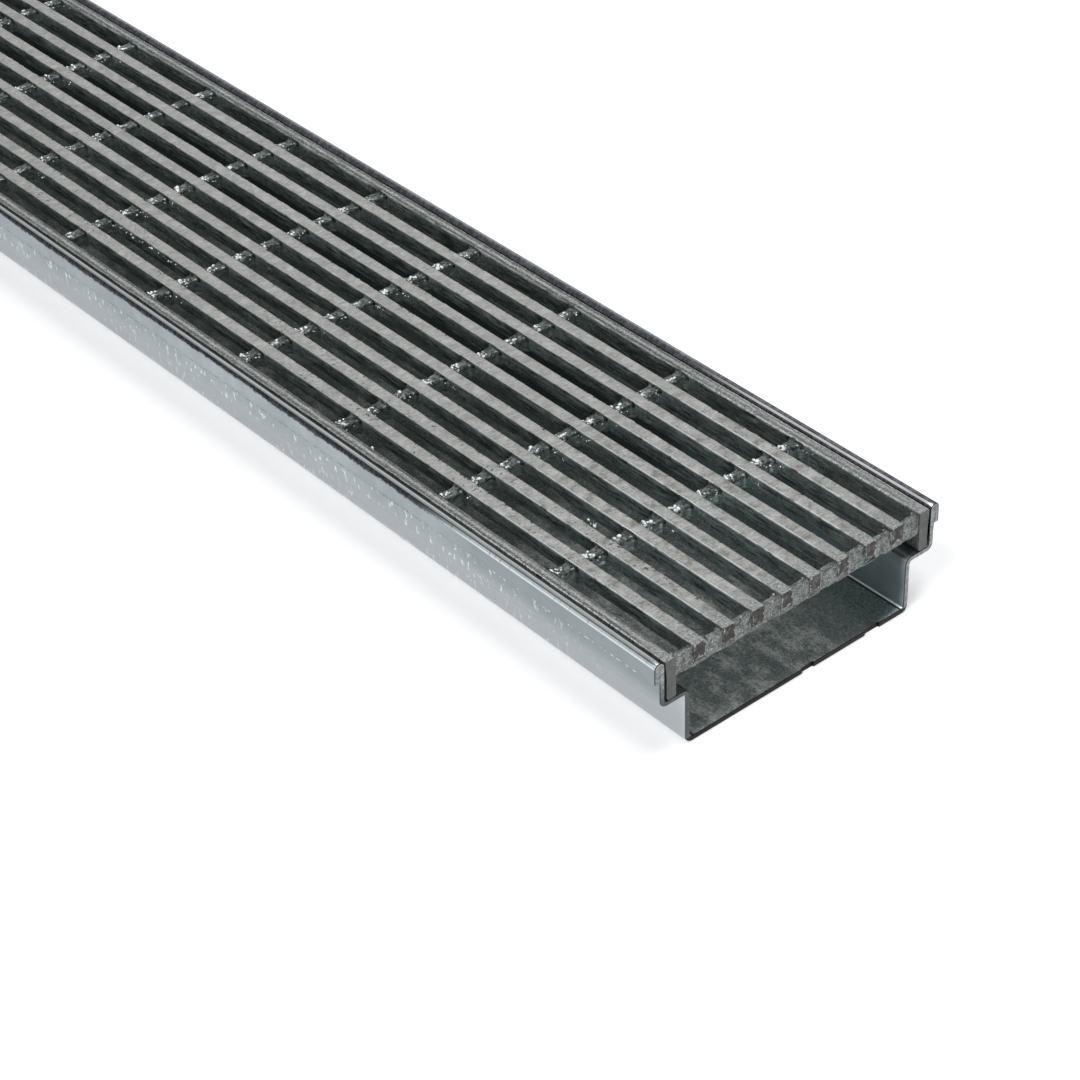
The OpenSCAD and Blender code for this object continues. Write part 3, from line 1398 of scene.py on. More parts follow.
class CoatTree(TreeRunner):
    """Copies a part to its place and lays uneven zinc on it, different on every copy."""

    def __init__(self) -> None:
        """Builds the tree."""
        super().__init__("zinc_coat")
        bench = self.bench
        part, shift, outset, swell, swell_size = self.takes(
            Part="Object", Shift="Vector", Outset="Float", Swell="Float", Swell_Size="Float"
        )
        grain, grain_size, material = self.takes(Grain="Float", Grain_Size="Float", Material="Material")

        form = bench.node("GeometryNodeObjectInfo", {"Object": part}).outputs["Geometry"]
        copy = bench.first("GeometryNodeTransform", {"Geometry": form, "Translation": shift})
        place = bench.first("GeometryNodeInputPosition")
        outward = bench.first("GeometryNodeInputNormal")
        broad = self.layer(place, swell_size, swell)
        fine = self.layer(place, grain_size, grain)
        waves = bench.plus(broad, fine)
        offset = bench.scaled(outward, bench.plus(waves, outset))
        self.ends(self.moved(copy, offset), material)

    def layer(self, place: Socket, size: Socket, depth: Socket) -> Value:
        """Adds one layer of noise.

        Args:
            place: Position of the point.
            size: Socket of the length of a wave.
            depth: Socket of its full height.

        Returns:
            Socket of the height.
        """
        noise = self.bench.first(
            "ShaderNodeTexNoise",
            {"Vector": place, "Scale": self.bench.maths("DIVIDE", 1.0, size), "Detail": 2.0},
        )
        return self.bench.product(self.bench.minus(noise, 0.5), depth)


@dataclass(frozen=True)
class ZincCoat:
    """Uneven layer of zinc on a part.

    Attributes:
        outset: Distance that the skin moves out, or in where it is negative.
        swell: Full height of the broad waves.
        swell_size: Length of a broad wave.
        grain: Full height of the fine waves.
        grain_size: Length of a fine wave.
    """

    outset: float
    swell: float
    swell_size: float
    grain: float = 0.0
    grain_size: float = 5 * MM

    def lay(
        self,
        tree: CoatTree,
        name: str,
        part: bpy.types.Object,
        along: float,
        finish: bpy.types.Material,
    ) -> bpy.types.Object:
        """Lays the coat on a copy of a part.

        Args:
            tree: Tree that lays it.
            name: Name of the piece.
            part: The part, drawn at the middle of the channel.
            along: Distance that the copy moves along the channel.
            finish: Its material.

        Returns:
            The piece.
        """
        return tree.run(
            name,
            Part=part,
            Shift=(0.0, along, 0.0),
            Outset=self.outset,
            Swell=self.swell,
            Swell_Size=self.swell_size,
            Grain=self.grain,
            Grain_Size=self.grain_size,
            Material=finish,
        )


class DropTree(TreeRunner):
    """Base of the trees that strew small drops of zinc, each of a few dozen faces."""

    sharp = math.radians(85)

    def strew(self, points: Socket, scale: Socket, material: Socket) -> None:
        """Puts a round drop on every point and closes the tree.

        Args:
            points: Socket of the points.
            scale: Half sizes of each drop.
            material: Socket of the material.
        """
        drop = self.bench.first("GeometryNodeMeshUVSphere", {"Segments": 8, "Rings": 5, "Radius": 1.0})
        strewn = self.bench.first(
            "GeometryNodeInstanceOnPoints", {"Points": points, "Instance": drop, "Scale": scale}
        )
        self.ends(strewn, material)

    def random(self, seed: Socket, salt: int, low: Point, high: Point) -> Socket:
        """Adds a random vector for each point.

        Args:
            seed: Socket of the tree's seed.
            salt: Number that keeps one draw apart from another.
            low: Lowest vector.
            high: Highest vector.

        Returns:
            Socket of the vector.
        """
        made = self.bench.node("FunctionNodeRandomValue", {0: low, 1: high}, data_type="FLOAT_VECTOR")
        self.bench.feed(made.inputs["Seed"], self.bench.plus(seed, float(salt)))
        return made.outputs[0]


class BeadTree(DropTree):
    """Strings small flattened drops of zinc along a line of the sheet."""

    def __init__(self) -> None:
        """Builds the tree."""
        super().__init__("zinc_beads")
        bench = self.bench
        count, start, step, drop, seed, material = self.takes(
            Count="Int", Start="Vector", Step="Vector", Drop="Vector", Seed="Int", Material="Material"
        )

        line = bench.first(
            "GeometryNodeMeshLine", {"Count": count, "Start Location": start, "Offset": step}
        )
        jitter = self.random(seed, 1, (-0.9 * MM, -2.2 * MM, -0.25 * MM), (0.0, 2.2 * MM, 0.1 * MM))
        grow = self.random(seed, 2, (0.5, 0.3, 0.5), (1.0, 1.6, 1.0))
        size = bench.vector_maths("MULTIPLY", drop, grow)
        self.strew(self.moved(line, jitter), size, material)


class BlobTree(DropTree):
    """Puts a few glossy drops of zinc at every place of a grid, different at each."""

    def __init__(self) -> None:
        """Builds the tree."""
        super().__init__("zinc_blobs")
        bench = self.bench
        columns, rows, pitch, bay, centre, reach = self.takes(
            Columns="Int", Rows="Int", Pitch="Float", Bay="Float", Centre="Vector", Reach="Vector"
        )
        amount, small, large, share, seed, material = self.takes(
            Amount="Int", Small="Float", Large="Float", Share="Float", Seed="Int", Material="Material"
        )

        grid = bench.first(
            "GeometryNodeMeshGrid",
            {
                "Size X": bench.product(bench.minus(columns, 1.0), pitch),
                "Size Y": bench.product(bench.minus(rows, 1.0), bay),
                "Vertices X": columns,
                "Vertices Y": rows,
            },
        )
        points = bench.first("GeometryNodeMeshToPoints", {0: grid})
        chosen = bench.node("FunctionNodeRandomValue", data_type="BOOLEAN")
        bench.feed(chosen.inputs["Probability"], share)
        bench.feed(chosen.inputs["Seed"], seed)
        some = bench.first(
            "GeometryNodeSeparateGeometry",
            {"Geometry": points, "Selection": chosen.outputs[3]},
            domain="POINT",
        )
        many = bench.first(
            "GeometryNodeDuplicateElements", {"Geometry": some, "Amount": amount}, domain="POINT"
        )
        apart = self.random(seed, 1, (-1.0, -1.0, -1.0), (1.0, 1.0, 1.0))
        offset = bench.vector_maths("ADD", centre, bench.vector_maths("MULTIPLY", apart, reach))
        shape = self.random(seed, 2, (0.6, 0.6, 0.6), (1.1, 1.3, 1.0))
        draw = self.random(seed, 3, (0.0, 0.0, 0.0), (1.0, 1.0, 1.0))
        part, _, _ = bench.split(draw)
        radius = bench.plus(small, bench.product(part, part, bench.minus(large, small)))
        self.strew(self.moved(many, offset), bench.scaled(shape, radius), material)


@dataclass
class SheetPath:
    """Middle line of a folded sheet in section, walked as a press brake folds it.

    Attributes:
        x: Place across.
        z: Height.
        heading: Direction of travel, from +X against the clock, in radians.
        middles: Points of the middle line, each with its normal.
        fold_steps: Steps in a quarter fold.
    """

    x: float
    z: float
    heading: float
    middles: list[tuple[float, float, float, float]] = field(default_factory=list)
    fold_steps: int = 7

    def mark(self) -> None:
        """Keeps the present point and its normal, which points to the left of travel."""
        self.middles.append((self.x, self.z, -math.sin(self.heading), math.cos(self.heading)))

    def straight(self, length: float, stops: Iterable[float] = ()) -> None:
        """Walks a flat stretch.

        Args:
            length: Its length.
            stops: Distances at which further points are kept.
        """
        from_x, from_z = self.x, self.z
        for reach in (*sorted(stops), length):
            self.x = from_x + reach * math.cos(self.heading)
            self.z = from_z + reach * math.sin(self.heading)
            self.mark()

    def fold(self, angle: float, radius: float) -> None:
        """Walks a fold.

        Args:
            angle: Angle of the fold, positive to the left of travel.
            radius: Radius of the middle line.
        """
        steps = max(1, round(abs(angle) / (math.pi / 2) * self.fold_steps))
        side = math.copysign(1.0, angle)
        centre_x = self.x - side * radius * math.sin(self.heading)
        centre_z = self.z + side * radius * math.cos(self.heading)
        for _ in range(steps):
            self.heading += angle / steps
            self.x = centre_x + side * radius * math.sin(self.heading)
            self.z = centre_z - side * radius * math.cos(self.heading)
            self.mark()


@dataclass
class Trough:
    """The folded sheet, from one rim down through the base and up to the other.

    Attributes:
        sheet: Thickness of the sheet.
        fold_r: Inside radius of the folds.
        rim_h: Height of the strip folded down outside.
        rim_gap: Gap in the closed fold of the rim.
        step: Step outwards at the shelves.
        shelf: Height of the shelves.
        edge_round: Length over which a sheared edge rounds off.
        ring_step: Distance between two rings of points along the trough.
        nicks: Middle and width of each nick in the near edge of the base.
        nick_d: Depth of the nicks.
        stop_step: Distance between two points of a flat stretch, or nearly so.
        cut_shares: Shares of the thickness at a rim's cut edge and beside it.
    """

    sheet: float = 2 * MM
    fold_r: float = 1 * MM
    rim_h: float = 8 * MM
    rim_gap: float = 0.2 * MM
    step: float = 11 * MM
    shelf: float = 23 * MM
    edge_round: float = 0.35 * MM
    ring_step: float = 4 * MM
    nicks: tuple[Pair, ...] = ((34.5 * MM, 7 * MM), (4 * MM, 5.5 * MM))
    nick_d: float = 0.8 * MM
    stop_step: float = 3 * MM
    cut_shares: Pair = (0.6, 0.88)

    def __post_init__(self) -> None:
        """Reads the overall sizes from the frame."""
        _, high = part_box("channel")
        self.half_w = high.x
        self.half_l = high.y
        self.height = high.z
        self.rim_t = 2 * self.sheet + self.rim_gap
        self.upper_in = self.half_w - self.rim_t
        self.lower_in = self.upper_in - self.step

    def finish(self) -> SheetFinish:
        """Returns the finish of the sheet, with the places that it follows."""
        return SheetFinish(
            name="zinc_sheet",
            pale=(0.43, 0.475, 0.495),
            deep=(0.36, 0.40, 0.42),
            roughness=0.30,
            dulling=0.12,
            patch=40 * MM,
            relief=0.03 * MM,
            stretch=(1.0, 1.0, 0.6),
            half_in=self.lower_in,
            shelf=self.shelf,
            top=self.height,
            rim_in=self.upper_in,
            rim_h=self.rim_h,
            sheet=self.sheet,
            end=self.half_l,
            nicks=self.nicks,
        )

    def middle_line(self) -> list[tuple[float, float, float, float]]:
        """Folds the sheet on paper.

        Returns:
            Points of its middle line, with normals, from the right rim to the left one.
        """
        bend = self.fold_r + self.sheet / 2
        rim_bend = (self.sheet + self.rim_gap) / 2
        rim_top = self.height - self.rim_t / 2
        quarter = math.pi / 2
        strip = self.rim_h - self.rim_t / 2
        wall_upper = rim_top - self.shelf - self.fold_r
        ledge = self.step - self.sheet - 2 * self.fold_r
        wall_lower = self.shelf - 2 * (self.sheet + self.fold_r)
        base = 2 * (self.lower_in - self.fold_r)
        path = SheetPath(self.half_w - self.sheet / 2, self.height - self.rim_h, quarter)
        path.mark()
        lengths = (strip, wall_upper, ledge, wall_lower)
        folds = ((math.pi, rim_bend), (-quarter, bend), (quarter, bend), (-quarter, bend))
        rounding = [self.edge_round * share for share in (0.35, 1.0)]
        for index, (length, fold) in enumerate(zip(lengths, folds)):
            path.straight(length, rounding if index == 0 else self.stops(length))
            path.fold(*fold)
        path.straight(base, self.base_stops(base))
        for index, (length, (angle, radius)) in enumerate(zip(reversed(lengths), reversed(folds))):
            path.fold(angle, radius)
            last = index == len(lengths) - 1
            path.straight(length, [length - r for r in rounding] if last else self.stops(length))
        return path.middles

    def stops(self, length: float) -> list[float]:
        """Returns places for further points on a flat stretch."""
        count = max(1, round(length / self.stop_step))
        return [length * i / count for i in range(1, count)]

    def base_stops(self, base: float) -> list[float]:
        """Gives the base further points, close together at the nicks' corners.

        Args:
            base: Length of the flat base.

        Returns:
            Distances from its right end.
        """
        corner = 0.06 * MM
        places = set(self.stops(base))
        for middle, width in self.nicks:
            for edge in (middle - width / 2, middle + width / 2):
                places |= {base / 2 - edge - corner, base / 2 - edge + corner}
        return sorted(places)

    def rings(self) -> list[Pair]:
        """Gives the place of each ring along the trough and its share of the thickness.

        Returns:
            The rings, from the near end to the far one.
        """
        rounding = ((0.0, 0.70), (0.6, 0.92), (1.0, 1.0))
        near = [(-self.half_l + self.edge_round * t, share) for t, share in rounding]
        count = round(2 * self.half_l / self.ring_step)
        body = [(-self.half_l + self.ring_step * i, 1.0) for i in range(1, count)]
        return near + body + [(-y, share) for y, share in reversed(near)]

    def nicked(self, x: float, y: float, z: float) -> float:
        """Moves a point of the base's near edge back where a nick is.

        Args:
            x: Place across.
            y: Place along.
            z: Height.

        Returns:
            The new place along.
        """
        floor = -self.half_l + self.nick_d
        squeeze = 0.1
        in_nick = any(abs(x - middle) < width / 2 for middle, width in self.nicks)
        if z < 2 * self.sheet and in_nick and y < floor:
            return floor + (y + self.half_l) * squeeze
        return y

    def build(self) -> bpy.types.Object:
        """Sweeps the section along Y and closes both cut ends.

        Returns:
            The trough.
        """
        middles = self.middle_line()
        count = len(middles)
        edge_shares = [*self.cut_shares, *[1.0] * (count - 4), *reversed(self.cut_shares)]
        points: list[Point] = []
        loop = 2 * count
        rings = self.rings()
        for y, share in rings:
            for way in (1, -1):
                order = range(count) if way == 1 else range(count - 1, -1, -1)
                for i in order:
                    x, z, nx, nz = middles[i]
                    closed = way == 1 and z > self.height - self.rim_h
                    off = way * (1.0 if closed else share * edge_shares[i]) * self.sheet / 2
                    px, pz = x + nx * off, z + nz * off
                    points.append((px, self.nicked(px, y, pz), pz))
        faces = stitched(len(rings), loop)
        far = (len(rings) - 1) * loop
        for i in range(count - 1):
            other = loop - 1 - i
            faces.append((i + 1, i, other, other - 1))
            faces.append((far + i, far + i + 1, far + other - 1, far + other))
        mesh = mesh_from("trough_part", points, faces)
        return linked("trough_part", mesh)


@dataclass
class LongPieces:
    """The long bars and the edge flats, each swept from its rolled section.

    Attributes:
        corner: Radii of the upper corners, where the grinding leaves them sharp.
        foot: Radius of the lower corners.
        ring_step: Distance between two rings of points.
        sunk: Depth of a cut end behind the zinc around it.
        pitted: Number of bars, from the left, whose tops are full of pits.
        tree: Tree that sweeps them.
    """

    corner: Pair = (0.35 * MM, 0.35 * MM)
    foot: float = 0.6 * MM
    ring_step: float = 1.4 * MM
    sunk: float = 0.25 * MM
    pitted: int = 2
    tree: SweepTree = field(default_factory=SweepTree)

    def section(
        self, name: str, width: float, height: float, corner: Pair, foot: float
    ) -> bpy.types.Object:
        """Draws a rolled section that hangs from its top, as a sweep reads it.

        Args:
            name: Name of the section.
            width: Width of the piece.
            height: Height of the piece.
            corner: Radius of the left and of the right upper corner.
            foot: Radius of the lower corners.

        Returns:
            A helper object with a closed curve. Its Y points down in the sweep.
        """
        corners = (
            (width / 2 - corner[1], corner[1], corner[1], -90),
            (width / 2 - foot, height - foot, foot, 0),
            (-width / 2 + foot, height - foot, foot, 90),
            (-width / 2 + corner[0], corner[0], corner[0], 180),
        )
        dense = self.divided(arcs(corners, steps=3), 1.1 * MM)
        curve = bpy.data.curves.new(name, "CURVE")
        spline = curve.splines.new("POLY")
        spline.points.add(len(dense) - 1)
        for point, (x, y) in zip(spline.points, dense):
            point.co = (x, y, 0.0, 1.0)
        spline.use_cyclic_u = True
        return linked(name, curve)

    @staticmethod
    def divided(points: Sequence[Pair], step: float) -> list[Pair]:
        """Adds points to the flat sides of a closed outline.

        Args:
            points: Its corners.
            step: Largest distance between two points.

        Returns:
            The finer outline.
        """
        dense: list[Pair] = []
        for (x0, y0), (x1, y1) in zip(points, [*points[1:], points[0]]):
            count = max(1, math.ceil(math.hypot(x1 - x0, y1 - y0) / step))
            dense += [(x0 + (x1 - x0) * i / count, y0 + (y1 - y0) * i / count) for i in range(count)]
        return dense

    def sweep(
        self,
        node: str,
        finish: bpy.types.Material,
        swell: float,
        burr: float,
        seed: float,
        corner: Pair,
        foot: float,
        lip: float = 0.0,
    ) -> bpy.types.Object:
        """Makes the piece that stands for one long node.

        Args:
            node: Name of the node.
            finish: Its material.
            swell: Height of the zinc's waves.
            burr: Reach of the zinc burrs on its upper edges.
            seed: Number that makes it differ from its neighbours.
            corner: Radius of its left and of its right upper corner.
            foot: Radius of its lower corners.
            lip: Thickness of the zinc that gathers on its outer face below the top.

        Returns:
            The piece.
        """
        low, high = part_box(node)
        outline = self.section(f"{node}_section", high.x - low.x, high.z - low.z, corner, foot)
        length = high.y - low.y - 2 * self.sunk
        piece = self.tree.run(
            f"{node}_zinc",
            Section=outline,
            Length=length,
            Rings=round(length / self.ring_step),
            Middle=(low.x + high.x) / 2,
            Level=high.z,
            Width=high.x - low.x,
            Swell=swell,
            Burr=burr,
            Lip=lip,
            Seed=seed,
            Material=finish,
        )
        curve = outline.data
        bpy.data.objects.remove(outline)
        bpy.data.curves.remove(curve)
        return piece

    def rhythm(self) -> Rhythm:
        """Measures where the bars and the cross bars repeat.

        Returns:
            The rhythm of the grate.
        """
        low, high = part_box("bar_1")
        next_low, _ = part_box("bar_2")
        tie_low, tie_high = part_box("cross_bar_01")
        end_low, end_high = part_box("end_bar_near")
        first = (end_low.y + end_high.y) / 2
        return Rhythm(
            pitch=next_low.x - low.x,
            half=(high.x - low.x) / 2,
            bay=(tie_low.y + tie_high.y) / 2 - first,
            first=first,
        )

    def bars(self) -> None:
        """Makes the long bars and hands them over."""
        _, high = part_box("bar_1")
        plain = BarFinish(
            name="zinc_bar",
            pale=(0.44, 0.50, 0.49),
            deep=(0.20, 0.235, 0.225),
            roughness=0.34,
            patch=5 * MM,
            relief=0.10 * MM,
            ground=Ground(high.z, (0.54, 0.535, 0.515), (0.37, 0.37, 0.355), 0.46),
            end=high.y - self.sunk,
            rhythm=self.rhythm(),
        )
        pitted = BarFinish(**{**vars(plain), "name": "zinc_bar_pitted", "pit_share": 0.09})
        materials = {True: pitted.material(), False: plain.material()}
        for index, node in enumerate(names_like("bar_")):
            piece = self.sweep(
                node,
                materials[index < self.pitted],
                swell=0.22 * MM,
                burr=0.45 * MM,
                seed=0.37 + 0.61 * index,
                corner=self.corner,
                foot=self.foot,
            )
            keep(piece, Slot.BAR, node)

    def flats(self) -> None:
        """Makes the edge flats and hands them over."""
        low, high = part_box("edge_flat_right")
        finish = FlatFinish(
            name="zinc_flat",
            pale=(0.40, 0.43, 0.42),
            deep=(0.18, 0.205, 0.195),
            roughness=0.34,
            patch=5 * MM,
            relief=0.12 * MM,
            ground=Ground(high.z, (0.52, 0.515, 0.50), (0.28, 0.285, 0.28), 0.42),
            end=high.y - self.sunk,
            rough_run=14 * MM,
            core=(0.13, 0.135, 0.13),
            smear=0.0,
            rhythm=self.rhythm(),
            inner=low.x,
            wide=high.x - low.x,
        ).material()
        corners = {Side.LEFT: (0.4 * MM, 0.9 * MM), Side.RIGHT: (0.9 * MM, 0.4 * MM)}
        for side in Side:
            node = f"edge_flat_{side.name.lower()}"
            piece = self.sweep(
                node,
                finish,
                swell=0.3 * MM,
                burr=0.10 * MM,
                seed=8.3 + side.value,
                corner=corners[side],
                foot=1.0 * MM,
                lip=0.45 * MM,
            )
            keep(piece, Slot.FLAT, node)


def names_like(start: str) -> list[str]:
    """Returns the names of the frame's nodes that start so, in order."""
    return sorted(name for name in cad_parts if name.startswith(start))


@dataclass
class NotchedForm:
    """A bar across the grate, notched for the long bars, with fillets against their sides.

    Attributes:
        width: Its width along the channel.
        top: Height of its top.
        bottom: Height of its underside.
        corner: Radius of its corners.
        flare: Reach of the fillets sideways.
        lift: Rise of the fillets at the bars.
        step: Largest distance between two rings across.
        spare: Height that the fillets leave below the long bars' tops.
    """

    width: float
    top: float
    bottom: float
    corner: float
    flare: float
    lift: float
    step: float
    spare: float = 0.12 * MM

    def fillet(self, distance: float, reach: float) -> float:
        """Gives the height of a hollow fillet.

        Args:
            distance: Distance from the bar's side.
            reach: Radius of the fillet.

        Returns:
            Its height there.
        """
        if reach <= 0.0 or distance >= reach:
            return 0.0
        rest = 1.0 - distance / reach
        return reach * (1.0 - math.sqrt(1.0 - rest * rest))

    def ring(self, x: float, widening: float, lift: float, ceiling: float) -> list[Point]:
        """Gives one ring of the loft, against the clock as seen from -X.

        Args:
            x: Place across.
            widening: Growth of each flank.
            lift: Growth of the top.
            ceiling: Greatest height.

        Returns:
            Its points.
        """
        steps = 4
        flank = 5
        half = self.width / 2 + widening
        top = min(self.top + lift, ceiling)
        radius = min(self.corner, (top - self.bottom) * 0.45)
        corners = (
            (half - radius, top - radius, radius, 0),
            (-half + radius, top - radius, radius, 90),
            (-half + radius, self.bottom + radius, radius, 180),
            (half - radius, self.bottom + radius, radius, 270),
        )
        outline = arcs(corners, steps)
        points: list[Point] = []
        for index, (y0, z0) in enumerate(outline):
            y1, z1 = outline[(index + 1) % len(outline)]
            parts = flank if index % (steps + 1) == steps else 1
            points += [
                (x, y0 + (y1 - y0) * i / parts, z0 + (z1 - z0) * i / parts) for i in range(parts)
            ]
        return points

    def build(
        self, name: str, bars: Sequence[Pair], span: Pair, bar_top: float, bar_foot: float
    ) -> bpy.types.Object:
        """Lofts the bar from one flat to the other.

        Args:
            name: Name of the part.
            bars: Left and right side of each long bar, from left to right.
            span: Places of its two ends.
            bar_top: Height of the long bars' tops.
            bar_foot: Height of the long bars' undersides.

        Returns:
            A helper object with the part at the middle of the channel.
        """
        rings: list[list[Point]] = []
        gaps = zip([span[0], *(right for _, right in bars)], [*(left for left, _ in bars), span[1]])
        ceiling = bar_top - self.spare
        for index, (left, right) in enumerate(gaps):
            if index:
                rings.append(self.ring(left, 0.0, 0.0, bar_foot))
            count = max(8, round((right - left) / self.step))
            for i in range(count + 1):
                x = left + (right - left) * i / count
                near = min(x - left, right - x)
                rings.append(
                    self.ring(x, self.fillet(near, self.flare), self.fillet(near, self.lift), ceiling)
                )
            if index < len(bars):
                rings.append(self.ring(right, 0.0, 0.0, bar_foot))
        size = len(rings[0])
        points = [point for ring in rings for point in ring]
        faces = stitched(len(rings), size)
        last = (len(rings) - 1) * size
        faces.append(tuple(range(size - 1, -1, -1)))
        faces.append(tuple(last + i for i in range(size)))
        return linked(name, mesh_from(name, points, faces))


@dataclass(frozen=True)
class Strewing:
    """A strewing of zinc drops over the places of a grid.

    Attributes:
        name: Name of the piece.
        grid: Number of places across and along.
        steps: Distance between two places across and along, in metres.
        centre: Middle of the grid, in millimetres.
        reach: Half size of the spread at each place, in millimetres.
        amount: Drops at each place.
        sizes: Smallest and largest radius, in millimetres.
        seed: Seed of the draw.
        share: Share of the places that get drops.
    """

    name: str
    grid: tuple[int, int]
    steps: Pair
    centre: Point
    reach: Point
    amount: int
    sizes: Pair
    seed: int
    share: float = 1.0

    def make(self, tree: BlobTree, finish: bpy.types.Material, slot: Slot) -> None:
        """Makes the drops and hands them over.

        Args:
            tree: Tree that strews them.
            finish: Their material.
            slot: Slot of their finish.
        """
        piece = tree.run(
            self.name,
            Columns=self.grid[0],
            Rows=self.grid[1],
            Pitch=self.steps[0],
            Bay=self.steps[1],
            Centre=tuple(value * MM for value in self.centre),
            Reach=tuple(value * MM for value in self.reach),
            Amount=self.amount,
            Small=self.sizes[0] * MM,
            Large=self.sizes[1] * MM,
            Share=self.share,
            Seed=self.seed,
            Material=finish,
        )
        keep(piece, slot)


def drop_strewings(grid: tuple[int, int], steps: Pair, top: float) -> tuple[Strewing, ...]:
    """Lists the zinc drops at the cross bars and the drips that hang in single places.

    Args:
        grid: Number of slots, and of cross bars.
        steps: Pitch of the long bars, and bay of the cross bars.
        top: Height of the cross bars' tops, in millimetres.

    Returns:
        The strewings, in the order in which they are made.
    """
    alone = (1, 1)
    row = (1, 12)
    row_steps = (0.0, 3.2 * MM)
    return (
        Strewing(
            "joint_blobs", grid, steps, (-1.5, 0.0, top - 0.2), (2.1, 1.6, 0.3), 4, (0.40, 0.90), 5
        ),
        Strewing(
            "large_blobs", grid, steps, (-1.9, 0.3, top - 0.3), (1.5, 1.7, 0.4), 6, (0.45, 0.95), 11, 0.4
        ),
        Strewing(
            "front_blobs", grid, steps, (0.8, -2.6, top - 1.2), (2.8, 0.8, 0.7), 3, (0.20, 0.50), 29, 0.5
        ),
        Strewing(
            "side_blobs", grid, steps, (3.7, -6.0, top - 1.0), (0.3, 5.0, 0.8), 5, (0.15, 0.40), 31, 0.35
        ),
        Strewing(
            "flat_drip", alone, steps, (-54.9, -342.4, top - 1.0), (0.3, 1.2, 0.8), 4, (0.35, 0.75), 17
        ),
        Strewing(
            "bar_drip", alone, steps, (-27.1, -425.7, top - 1.2), (1.2, 3.5, 0.6), 6, (0.30, 0.70), 23
        ),
        Strewing(
            "chain_drips", row, row_steps, (-35.0, -175.5, top - 0.9), (0.25, 1.2, 0.5), 1, (0.30, 0.70), 37
        ),
    )


